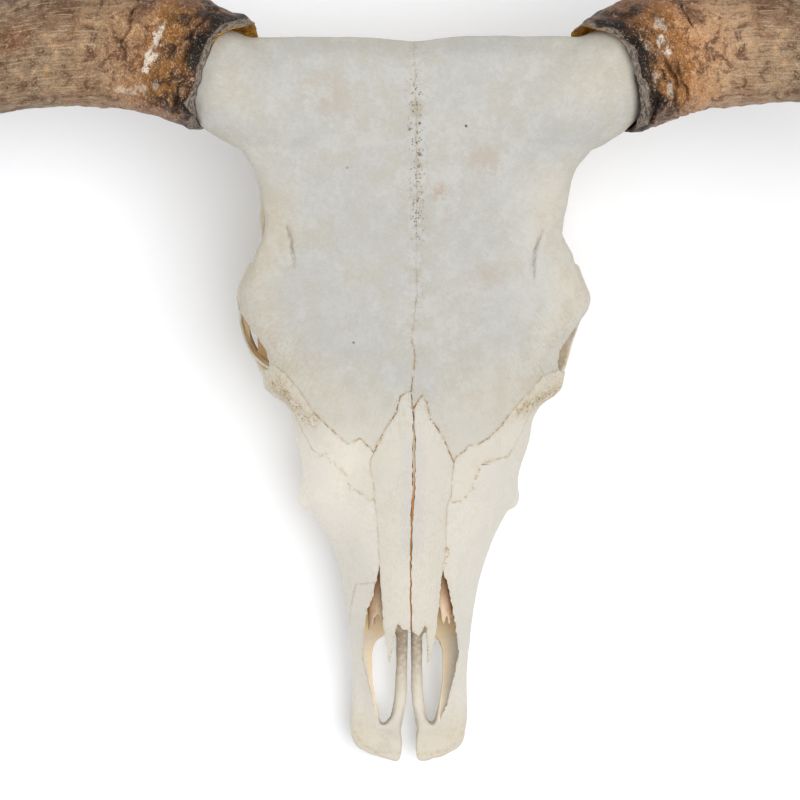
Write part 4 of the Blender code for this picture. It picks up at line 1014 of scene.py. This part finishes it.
def horn_sheath(side, word, seed):
    """A sheath with its worn, flaking base, hollow near the rim and solid to its tip."""
    pick = 1 if side > 0 else 0
    around, along, inner_rows = ((176, 430, 40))
    length = horn_frame(np.array([0.0]))[4]
    outer_s = np.concatenate([np.linspace(0, 0.10, along // 2, endpoint=False),
                              0.10 + (length - 0.10) * np.linspace(0, 1, along // 2) ** 0.97])
    s = np.repeat(np.concatenate([np.linspace(SHEATH_CAVITY, 0, inner_rows), outer_s]), around)
    turn = np.tile(np.linspace(0, 2 * math.pi, around, endpoint=False), inner_rows + len(outer_s))
    outside = np.arange(len(s)) >= inner_rows * around
    rise, fields, flat = horn_surface(s, turn, seed, pick)
    radius = SHEATH_RADIUS(s) + rise * ease(0.0, 0.06, length - s)
    radius += 0.0042 * np.maximum(np.cos(turn), 0) ** 1.5 * ease(0.0, 0.035, s) * ease(0.20, 0.10, s)
    radius *= np.sqrt(np.clip((length - s) / 0.008, 0.01, 1))
    inner_radius = SHEATH_RADIUS(s) - SHEATH_WALL - 0.1 * s + 0.0004 * layered(flat, 0.016, 2, seed + 70)
    radius = np.maximum(np.where(outside, radius, inner_radius), 0.0008)
    centre, forward, back, over, _ = horn_frame(s)
    low, high = RIM[pick](-1), RIM[pick](1)
    below = (low + high) / 2 + (high - low) / 2 * np.cos(turn) + RIM_BELOW * np.sin(turn)
    lean = np.maximum(0, 1 - s / RIM_FADE) * np.where(np.sin(turn) > 0, RIM[pick](np.cos(turn)), below)
    lean += 0.0012 * layered(flat * [0, 1, 1], 0.012, 3, seed + 80) * ease(0.02, 0.0, s)
    across = back * np.cos(turn)[:, None] + over * np.sin(turn)[:, None]
    points = centre + forward * lean[:, None] + across * radius[:, None]
    points[:, 1] += HORN_SHIFT[pick](s)
    points[:, 0] *= side
    rows = len(points) // around
    faces = ring_faces(rows, around) + [list(range((rows - 1) * around, rows * around))]
    piece = closed_piece(f"horn_{word}_skin", points, [face[::side] for face in faces])
    fields = {key: np.where(outside, value, 0) for key, value in fields.items()}
    fields["inner"] = np.where(outside, ease(0.0012, 0.0, s) * 0.5, 1.0)
    write_fields(piece, fields, horn=flat)
    return piece


# ---------------------------------------------------------------- teeth and the nose's inner bones
# Length and width of each cheek tooth from the front; the last three, the molars, have two lobes
TEETH = ((0.0165, 0.0150), (0.0175, 0.0175), (0.0180, 0.0195),
         (0.0245, 0.0220), (0.0280, 0.0235), (0.0290, 0.0225))
FIRST_MOLAR = 3
TEETH_FRONT = -0.117
ROW_X = curve((-117, 40.5), (-100, 47.3), (-75, 53.8), (-40, 58), (20, 58.2))
TOOTH_HEIGHT = 0.034


def tooth(length, width, lobes, seed):
    """Points and faces of one grazing tooth, biting face down, with crescents of enamel."""
    around, levels, rings = ((72, 18, 16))
    turn = np.linspace(0, 2 * math.pi, around, endpoint=False)
    squarish = (np.abs(np.cos(turn)) ** 3.2 + np.abs(np.sin(turn)) ** 3.2) ** (-1 / 3.2)
    across, along = np.cos(turn) * squarish, np.sin(turn) * squarish
    wave = 0.86 + 0.14 * np.abs(np.sin(math.pi * lobes * (along * 0.5 + 0.5)))
    rib = np.where(across > 0, 1 + 0.05 * np.cos(6 * math.pi * lobes * along * 0.5), 1.0)
    points, glaze = [], []
    for t in np.linspace(0, 1, levels):
        size = 0.90 + 0.10 * ease(0.0, 0.5, t) - 0.03 * ease(0.93, 1.0, t)
        points.append(np.column_stack([across * wave * rib * width / 2 * size,
                                       along * length / 2 * (size * 0.5 + 0.5) * 0.985,
                                       np.full(around, TOOTH_HEIGHT * (1 - t))]))
        glaze.append(np.full(around, 0.25 + 0.5 * ease(0.25, 0.6, t)))
    rim = points[-1][:, :2]
    for ring in range(1, rings):
        share = 1 - ring / rings
        u, v = (rim * share / [width / 2, length / 2]).T
        ridge = np.full(around, ease(0.80, 0.93, share))
        pit = np.zeros(around)
        for lobe in range(lobes):
            middle = 0.0 if lobes == 1 else lobe - 0.5
            far = np.hypot((u + 0.10) / 0.42, (v - middle) / (0.62 / lobes))
            ridge = most(ridge, hump(far - 1.0, 0.16) * ease(-0.35, 0.1, u))
            pit = most(pit, hump(far - 0.62, 0.17) * ease(-0.3, 0.0, u))
        points.append(np.column_stack([rim * share, 0.0013 * (1 - ridge) + 0.0022 * pit]))
        glaze.append(np.clip(0.15 + 0.85 * ridge - 0.5 * pit, 0, 1))
    points.append(np.array([[0, 0, 0.0013]]))
    glaze.append(np.array([0.1]))
    points = np.vstack(points)
    faces = ring_faces(levels + rings - 1, around)
    tip = len(points) - 1
    faces += [[tip - around + i, tip - around + (i + 1) % around, tip] for i in range(around)]
    points[:, :2] += 0.00012 * np.column_stack([noise(points, 0.004, seed), noise(points, 0.004, seed + 1)])
    return points, faces, np.concatenate(glaze)


def teeth(side, word):
    """One row of cheek teeth."""
    points, faces, glaze, total, front = [], [], [], 0, TEETH_FRONT
    for number, (length, width) in enumerate(TEETH):
        middle = front + length / 2
        found, quads, shine = tooth(length - 0.0006, width, 2 if number >= FIRST_MOLAR else 1, 90 + number)
        points.append((found + [ROW_X(middle), middle, 0]) * [side, 1, 1])
        faces += [[i + total for i in face[::side]] for face in quads]
        glaze.append(shine)
        total += len(found)
        front += length
    piece = closed_piece(f"teeth_{word}", np.vstack(points), faces)
    write_fields(piece, {"glaze": np.concatenate(glaze)})
    piece.data.set_sharp_from_angle(angle=math.radians(50))
    return piece


def turbinate(side, word):
    """A thin scroll of bone in the nose, with a ragged front edge."""
    rows, columns, thin = 70, 44, 0.0006
    v = np.linspace(0, 1, columns)
    first = (-0.1575 if side > 0 else -0.1625) + 0.010 * np.abs(v - 0.45)
    first += 0.0095 * noise(np.column_stack([v * 0.03, v * 0 + side * 0.1, v * 0]), 0.0022, 77)
    curl = math.pi * (-0.35 + 1.5 * v)
    reach = 0.0090 - 0.0030 * v
    points = []
    for row in np.linspace(0, 1, rows):
        y = first + (0.010 - first) * row
        high = (CAVITY_LOW(y) + CAVITY_TOP(y)) / 2 + 0.004
        for half, order in ((thin, 1), (-thin, -1)):
            points.append(np.column_stack([side * (0.0205 + (reach + half) * np.cos(curl)), y,
                                           high + (reach * 1.7 + half) * np.sin(curl)])[::order])
    around = 2 * columns
    faces = ring_faces(rows, around)[:-1]
    for start in (0, (rows - 1) * around):
        end = start + around - 1
        faces += [[start + i, start + i + 1, end - 1 - i, end - i] for i in range(columns - 1)]
    return closed_piece(f"turbinate_{word}", np.vstack(points), faces)


def septum():
    """The stained edge of the nose's middle wall, seen in the gap between the nasal bones."""
    rings = []
    for y in np.linspace(-0.1660, -0.0235, 150):
        half = max(float(NASAL_GAP(y)) / 2 - 0.0001, 0.0001)
        left, right, top = MIDDLE(y) - half, MIDDLE(y) + half, ROOF_Z(y) - 0.0012
        rings.append([(left, y, top), (right, y, top), (right, y, top - 0.0040), (left, y, top - 0.0040)])
    return skin("septum", rings)


def vomer():
    """The upright plate of bone in the middle of the nose."""
    t = np.linspace(0, 1, 16)
    half = 0.0010 + 0.0016 * t * t + 0.004 * (1 - t) ** 6
    rings = []
    for y in np.linspace(-0.158, 0.008, 60):
        low, top = CAVITY_LOW(y) - 0.002, CAVITY_TOP(y) - 0.010
        z = low + (top - low) * ease(-0.165, -0.125, y) * t
        rings.append([*zip(half, t * 0 + y, z), *zip(-half[::-1], t * 0 + y, z[::-1])])
    piece = skin("vomer", rings)
    piece.data.shade_smooth()
    piece.data.set_sharp_from_angle(angle=math.radians(50))
    return piece


# ---------------------------------------------------------------- materials
class Wire:
    """A shader socket's output, which can be added, subtracted and multiplied."""

    def __init__(self, paint, socket):
        self.paint, self.socket = paint, socket

    def __add__(self, other):
        return self.paint.math("ADD", self, other)

    def __sub__(self, other):
        return self.paint.math("SUBTRACT", self, other)

    def __rsub__(self, other):
        return self.paint.math("SUBTRACT", other, self)

    def __mul__(self, other):
        return self.paint.math("MULTIPLY", self, other)


class Paint:
    """A material whose colour is laid on coat by coat."""

    def __init__(self, name):
        self.material = bpy.data.materials.new(name)
        self.material.use_nodes = True
        self.nodes, self.links = self.material.node_tree.nodes, self.material.node_tree.links
        self.shader = self.nodes["Principled BSDF"]
        self.where = self.node("ShaderNodeTexCoord", "Object", {})

    def put(self, socket, value):
        if isinstance(value, Wire):
            self.links.new(value.socket, socket)
        else:
            socket.default_value = value

    def node(self, kind, output, inputs, **settings):
        made = self.nodes.new(kind)
        for key, value in settings.items():
            setattr(made, key, value)
        for key, value in inputs.items():
            self.put(made.inputs[key], value)
        return Wire(self, made.outputs[output])

    def field(self, name, output="Fac"):
        return self.node("ShaderNodeAttribute", output, {}, attribute_name=name)

    def axis(self, vector, number):
        return self.node("ShaderNodeSeparateXYZ", number, {0: vector})

    def stretch(self, vector, scale):
        return self.node("ShaderNodeMapping", "Vector", {"Vector": vector, "Scale": scale})

    def noise(self, vector, scale, detail, rough, distortion=0.0):
        return self.node("ShaderNodeTexNoise", "Fac", {"Vector": vector, "Scale": scale, "Detail": detail,
                                                       "Roughness": rough, "Distortion": distortion})

    def math(self, operation, a, b):
        return self.node("ShaderNodeMath", 0, {0: a, 1: b}, operation=operation)

    def distance(self, vector, centre):
        return self.node("ShaderNodeVectorMath", "Value", {0: vector, 1: centre}, operation="DISTANCE")

    def span(self, value, low, high, start=0.0, end=1.0, kind="SMOOTHSTEP"):
        return self.node("ShaderNodeMapRange", "Result",
                         {"Value": value, "From Min": low, "From Max": high, "To Min": start, "To Max": end},
                         interpolation_type=kind)

    def sway(self, value, much, low=0.3, high=0.7):
        return self.span(value, low, high, -much, much, "LINEAR")

    def mix(self, share, under, over):
        under, over = (tint if isinstance(tint, Wire) else linear(tint) for tint in (under, over))
        return self.node("ShaderNodeMix", 2, {0: share, 6: under, 7: over}, data_type="RGBA")

    def lay(self, share, tint):
        """One more coat over the colour so far."""
        self.colour = self.mix(share, self.colour, tint)

    def ramp(self, value, stops):
        made = self.node("ShaderNodeValToRGB", "Color", {0: value})
        ramp = made.socket.node.color_ramp
        while len(ramp.elements) < len(stops):
            ramp.elements.new(0.5)
        for element, (place, tint) in zip(ramp.elements, stops):
            element.position = place
            element.color = linear(tint)
        return made

    def finish(self, roughness, shine, height, depth, strength):
        """Roughness, shine and a bump of the given height field, with the colour so far."""
        normal = self.node("ShaderNodeBump", "Normal",
                           {"Strength": strength, "Distance": depth, "Height": height})
        for key, value in (("Base Color", self.colour), ("Roughness", roughness), ("Normal", normal),
                           ("Specular IOR Level", shine)):
            self.put(self.shader.inputs[key], value)
        return self.material


def linear(colour):
    return (*(((c / 255 + 0.055) / 1.055) ** 2.4 if c > 10 else c / 255 / 12.92 for c in colour), 1)


# Spots on the forehead: place in plan, radius, colour and strength
SPOTS = (((0.0330, 0.1700), 0.0013, (70, 58, 42), 0.85), ((-0.0448, 0.1431), 0.0013, (150, 148, 142), 0.75),
         ((-0.0402, 0.0290), 0.0011, (104, 82, 56), 0.7), ((0.0125, -0.1530), 0.0011, (170, 130, 70), 0.7),
         ((-0.0040, 0.1675), 0.0014, (126, 100, 70), 0.8), ((0.0026, 0.1715), 0.0013, (120, 96, 66), 0.8),
         ((0.0026, 0.1516), 0.0017, (122, 96, 66), 0.8), ((0.0019, 0.1437), 0.0014, (128, 104, 76), 0.7))
# Faint pinkish blushes: place in plan, radius and strength
BLUSH = (((0.0170, 0.127), 0.010, 0.8), ((0.0190, 0.112), 0.008, 0.6), ((0.045, 0.150), 0.020, 0.35),
         ((-0.060, 0.190), 0.022, 0.30), ((0.048, 0.072), 0.016, 0.25))


def bone_material(name, cool, cream, light, streak, spots=()):
    """Bleached bone; streak is how strongly its grain shows."""
    p = Paint(name)
    tone, blot, pale, pore, yellow, seam, seamy, deep = (
        p.field(word) for word in ("tone", "blot", "pale", "pore", "yellow", "seam", "seamy", "deep"))
    small = p.noise(p.where, 300, 3, 0.62, 0.3)
    fine = p.noise(p.where, 1150, 2, 0.6)
    grain = p.noise(p.field("grain", "Vector"), 1400, 2, 0.6)
    p.colour = p.mix(p.field("warm") + p.span(tone, 0.35, 0.75, -0.06, 0.12), cool, cream)
    p.lay(pale, light)
    # Painted light on the side of the maxilla at -X, and a weaker lighter patch on the forehead at +X
    p.lay(p.field("lightened") * 0.60, (246, 239, 226))
    # Painted shade: cool grey along the middle of the nasal bones
    p.lay(p.field("midline_shade") * 0.30, (194, 195, 198))
    cloudy = blot * 0.35 + small * 0.65
    strong = 1.0 - pale * 0.62
    p.lay(p.span(cloudy, 0.50, 0.62, 0, 0.26) * strong, (188, 178, 158))
    p.lay(p.span(cloudy, 0.49, 0.38, 0, 0.26) * strong, (214, 213, 208))
    p.lay(p.span(tone, 0.46, 0.22, 0, 0.22) * strong, (188, 188, 184))
    p.lay(p.span(fine, 0.58, 0.74, 0, 0.20), (150, 138, 118))
    p.lay(p.span(fine, 0.42, 0.28, 0, 0.25), (236, 234, 228))
    stripes = p.field("striped") * 0.30 + 0.16 * streak
    p.lay(stripes * p.span(grain, 0.50, 0.68), (158, 146, 122))
    plan = p.stretch(p.where, (1, 1, 0))
    for centre, size, much in BLUSH:
        away = p.span(p.distance(plan, (*centre, 0)), size, size * 0.15)
        p.lay(away * p.span(cloudy, 0.44, 0.58, 0.1, much), (190, 166, 148))
    dots = p.node("ShaderNodeTexVoronoi", "Distance", {"Vector": p.where, "Scale": 560})
    pits = p.span(dots, 0.42, 0.20) * (pore * p.span(small, 0.44, 0.54))
    p.lay(pore * p.span(blot, 0.40, 0.62, 0, 0.34), (168, 152, 126))
    p.lay(pits * 0.9, (112, 88, 58))
    p.lay(yellow * p.span(small, 0.42, 0.62, 0.05, 0.85), (206, 180, 132))
    beads = p.span(yellow, 0.25, 0.80) * p.span(dots, 0.40, 0.20) * p.span(small, 0.46, 0.56)
    p.lay(beads * 0.75, (134, 100, 58))
    # Painted shade on the palate rods and the orbit wall at +X, and darker lines along the grooves above the
    # orbits
    p.lay(p.field("shade_and_grooves") * p.span(small, 0.3, 0.6, 0.35, 0.75), (120, 98, 70))
    broken = p.span(p.noise(p.where, 170, 2, 0.5), 0.38, 0.56, 0.12, 1.0)
    thread = p.span(seam + p.sway(fine, 0.035), 0.130, 0.02) * seamy * broken
    p.lay(p.span(seam, 0.40, 0.0) * seamy * p.span(small, 0.40, 0.62, 0.05, 0.55), (188, 158, 110))
    p.lay(thread * 0.90, (140, 102, 52))
    # Painted light: the hollows are made lighter and yellower, standing in for light that passes through the
    # thin bone; deeper in, an amber coat is the hollows' own colour together with painted shade that grows
    # with depth
    p.lay(deep * p.span(blot, 0.3, 0.7, 0.85, 1.0), (248, 219, 166))
    p.lay(p.span(deep, 0.70, 1.0, 0, 0.75), (176, 118, 56))
    for centre, size, tint, much in spots:
        uneven = p.distance(plan, (*centre, 0)) + p.sway(fine, 0.25 * size)
        p.lay(p.span(uneven, size, size * 0.45, 0, much), tint)
    height = small * 0.60 + fine * 0.30 + grain * (stripes * 1.6) - (pits + beads) * 1.1 - thread * 0.3
    return p.finish(p.span(small, 0.3, 0.7, 0.58, 0.74), 0.30, height, 0.00045, 0.7)


def horn_material(name, warm, tan, gold, grey):
    """Worn horn: a grey frayed rim, black and amber by the base, wrinkled tan with grain further out."""
    p = Paint(name)
    horn = p.field("horn", "Vector")
    fringe = p.field("fringe")
    across = p.axis(horn, 1)
    broad = p.noise(horn, 32, 3, 0.55, 0.4)
    patchy = p.noise(horn, 90, 5, 0.62, 0.8)
    wrinkle = p.noise(horn, 270, 4, 0.62, 2.4)
    fine = p.noise(horn, 950, 3, 0.6, 0.5)
    grain = p.noise(p.stretch(horn, (0.10, 1, 1)), 620, 4, 0.62, 0.3)
    along = p.axis(horn, 0) + p.sway(broad, 0.012)
    outer = p.span(along, 0.055, 0.095)
    p.colour = p.ramp(along * 2.0, (
        (0.0, (78, 52, 32)), (0.020, (84, 53, 29)), (0.040, (104, 66, 35)), (0.060, (128, 84, 46)),
        (0.080, warm), (0.11, tan), (0.165, grey), (0.26, (148, 124, 98)), (0.44, (124, 99, 76)),
        (0.68, (90, 70, 54)), (0.86, (52, 42, 35)), (0.96, (32, 27, 24))))
    p.lay(p.span(patchy, 0.50, 0.63, 0, 0.80), (92, 53, 28))
    p.lay(p.span(patchy, 0.46, 0.33, 0, 0.55), (214, 168, 118))
    p.lay(p.span(broad, 0.52, 0.68, 0, 0.55), (126, 78, 42))
    golden = p.span(along, 0.012, 0.022) * p.span(along, 0.050, 0.038)
    p.lay(golden * p.span(patchy, 0.42, 0.56, 0, 0.75), gold)
    calm = p.span(outer, 0.0, 1.0, 1.0, 0.55)
    p.lay(p.span(wrinkle, 0.49, 0.36, 0, 0.62) * calm, (84, 54, 36))
    p.lay(p.span(wrinkle, 0.53, 0.66, 0, 0.62) * calm, (226, 196, 164))
    p.lay(p.span(across + p.sway(broad, 0.012), 0.016, 0.038, 0, 0.55), (82, 54, 40))
    p.lay(outer * p.span(grain, 0.52, 0.68, 0, 0.50), (212, 190, 160))
    p.lay(outer * p.span(grain, 0.46, 0.32, 0, 0.55), (98, 68, 48))
    p.lay(p.span(fine, 0.56, 0.74, 0, 0.34), (70, 46, 32))
    p.lay(p.span(fine, 0.44, 0.28, 0, 0.28), (232, 206, 178))
    p.lay(p.field("black") * p.span(wrinkle, 0.64, 0.50, 0.55, 1.0), (22, 15, 11))
    p.lay(p.field("crack") * p.span(fine, 0.3, 0.6, 0.55, 0.95), (36, 23, 15))
    p.lay(p.field("white") * p.span(wrinkle, 0.36, 0.52, 0.15, 1.0), (240, 226, 208))
    fibres = p.noise(p.stretch(horn, (1, 0.35, 0.35)), 900, 4, 0.66, 0.8)
    frayed = p.mix(p.span(fibres, 0.36, 0.64), (78, 67, 58), (158, 147, 135))
    p.lay(fringe * p.span(patchy, 0.30, 0.42, 0.6, 1.0), frayed)
    inside = p.mix(p.span(wrinkle, 0.35, 0.65), (112, 70, 24), (214, 160, 74))
    p.lay(p.field("inner"), p.mix(p.span(across, 0.006, 0.026), (58, 46, 36), inside))
    height = wrinkle * 1.3 + fine * 0.5 + patchy * 0.9 + outer * grain * 1.1 + fringe * fibres * 2.0
    rough = p.span(patchy, 0.35, 0.65, 0.34, 0.50) + fringe * 0.30 + outer * 0.12
    return p.finish(rough, 0.22, height, 0.00055, 0.8)


def tooth_material():
    p = Paint("tooth_enamel")
    small = p.noise(p.where, 300, 4, 0.6)
    lines = p.noise(p.stretch(p.where, (1, 1, 0.15)), 700, 3, 0.6)
    glaze = p.field("glaze")
    p.colour = p.mix(glaze, (120, 84, 48), (226, 214, 186))
    p.lay(p.span(small, 0.50, 0.68, 0, 0.30), (122, 92, 60))
    p.lay(p.span(lines, 0.54, 0.68, 0, 0.35), (142, 110, 72))
    return p.finish(p.span(glaze, 0.2, 0.9, 0.6, 0.28), 0.5, small + lines * 0.8, 0.0003, 0.6)


def scroll_material():
    p = Paint("nose_scroll")
    small = p.noise(p.where, 420, 4, 0.6)
    along = p.noise(p.stretch(p.where, (1, 0.15, 1)), 800, 3, 0.6)
    # Painted light and shade: lighter at the front ends of the scrolls and the plate, darker amber further
    # back into the nose
    p.colour = p.mix(p.span(p.axis(p.where, 1), -0.155, -0.120), (234, 210, 182), (184, 132, 76))
    p.lay(p.span(small, 0.5, 0.7, 0, 0.4), (186, 142, 100))
    p.lay(p.span(along, 0.5, 0.7, 0, 0.4), (232, 212, 188))
    return p.finish(p.span(small, 0.3, 0.7, 0.6, 0.75), 0.3, small + along, 0.0003, 0.6)


def septum_material():
    p = Paint("nose_septum")
    small = p.noise(p.where, 500, 4, 0.6)
    p.colour = p.mix(p.span(p.axis(p.where, 1), -0.050, -0.085), (206, 184, 156), (192, 132, 62))
    p.lay(p.span(small, 0.5, 0.7, 0, 0.6), (140, 90, 42))
    return p.finish(p.span(small, 0.3, 0.7, 0.5, 0.7), 0.3, small, 0.0003, 0.6)


def floor_material():
    p = Paint("floor_white")
    soft = p.noise(p.where, 6, 3, 0.5)
    p.colour = p.mix(p.span(soft, 0.3, 0.7), (246, 248, 251), (247, 249, 252))
    p.put(p.shader.inputs["Emission Color"], (1, 1, 1, 1))
    p.put(p.shader.inputs["Emission Strength"], FLOOR_GLOW)
    return p.finish(p.span(soft, 0.3, 0.7, 0.86, 0.90), 0.1, soft, 0.00002, 0.1)


# ---------------------------------------------------------------- putting it together
def place(piece, material, slot, node=None):
    """The piece with its one material on the root; node is the CAD node that it replaces."""
    piece.data.materials.clear()
    piece.data.materials.append(material)
    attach(piece, "root")
    if node:
        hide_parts(node)


def place_bones(made):
    forehead = bone_material("forehead_white", (194, 193, 187), (205, 196, 177), (212, 206, 193), 0.4, SPOTS)
    nose = bone_material("nose_white", (210, 207, 198), (216, 206, 188), (219, 213, 200), 1.0)
    cheek = bone_material("cheek_cream", (212, 206, 192), (214, 202, 176), (224, 217, 203), 0.5)
    jaw = bone_material("jaw_cream", (214, 208, 196), (210, 196, 168), (227, 221, 209), 0.7)
    brain = bone_material("braincase_cream", (204, 198, 184), (206, 192, 164), (212, 204, 188), 0.3)
    kinds = {"frontal": (forehead, "forehead_bone"), "nasal": (nose, "nose_bone"),
             "lacrimal": (cheek, "cheek_bone"), "zygomatic": (cheek, "cheek_bone"),
             "maxilla": (jaw, "jaw_bone"), "premaxilla": (jaw, "jaw_bone"),
             "braincase": (brain, "braincase_bone")}
    for node, piece in made.items():
        piece.name = piece.data.name = f"{node}_fine"
        numbers, grain = bone_fields(*read_points(piece))
        write_fields(piece, numbers, grain=grain)
        piece.data.shade_smooth()
        piece.data.set_sharp_from_angle(angle=math.radians(48))
        material, slot = kinds[node.split("_")[0]]
        place(piece, material, slot, node)


def place_horns():
    for side, seed, word, tones in (
            (1, 300, "left", ((172, 114, 64), (202, 148, 102), (170, 114, 54), (186, 152, 118))),
            (-1, 500, "right", ((150, 100, 56), (166, 122, 84), (160, 108, 46), (158, 128, 96)))):
        material = horn_material(f"horn_{word}_worn", *tones)
        place(horn_sheath(side, word, seed), material, "horn", f"horn_sheath_{word}")


def place_inner_bones():
    enamel, scroll = tooth_material(), scroll_material()
    for side, word in SIDES:
        place(teeth(side, word), enamel, "jaw_bone")
        place(turbinate(side, word), scroll, "nose_bone")
    place(vomer(), scroll, "nose_bone")
    place(septum(), septum_material(), "nose_bone")


# Each sun's turn from +X, rise above the floor, softness and power, the first three in degrees
SUNS = ((-18.0, 74.0, 44.8, 2.15), (175.0, 20.8, 70.0, 0.80))
AMBIENT = 0.34
FLOOR_GLOW = 0.08
FLOOR_HALF = 6.0
CAMERA_AT = (-0.0450, -0.0095, 2.4)
CAMERA_TILT, CAMERA_ROLL = 0.921, 0.15
SENSOR = 36
# A focal length of 3345 pixels in a picture 800 pixels wide
LENS = SENSOR * 3345 / 800


def studio():
    """White floor, soft light from the upper right, and the camera above the skull."""
    corners = [(x * FLOOR_HALF, y * FLOOR_HALF, 0) for x, y in ((-1, -1), (1, -1), (1, 1), (-1, 1))]
    floor = add_object("floor", grid_mesh("floor", corners, [(0, 1, 2, 3)]))
    floor.data.materials.append(floor_material())
    scene = bpy.context.scene
    scene.world = bpy.data.worlds.new("studio")
    scene.world.use_nodes = True
    background = scene.world.node_tree.nodes["Background"]
    background.inputs["Color"].default_value = (1, 1, 1, 1)
    background.inputs["Strength"].default_value = AMBIENT
    for number, (turn, rise, softness, power) in enumerate(SUNS):
        sun = bpy.data.lights.new(f"sun_{number}", "SUN")
        sun.energy = power
        sun.angle = math.radians(softness)
        turn, rise = math.radians(turn), math.radians(rise)
        aim = Vector((math.cos(turn) * math.cos(rise), math.sin(turn) * math.cos(rise), math.sin(rise)))
        add_object(sun.name, sun).rotation_euler = aim.to_track_quat("Z", "Y").to_euler()
    lens = bpy.data.cameras.new("camera")
    lens.sensor_width = SENSOR
    lens.lens = LENS
    lens.clip_start, lens.clip_end = 0.05, 20
    camera = add_object("camera", lens)
    camera.location = CAMERA_AT
    camera.rotation_euler = (0, math.radians(-CAMERA_TILT), math.radians(CAMERA_ROLL))
    scene.camera = camera
    scene.view_settings.view_transform = "Standard"


place_bones(part_bones())
place_horns()
place_inner_bones()
studio()
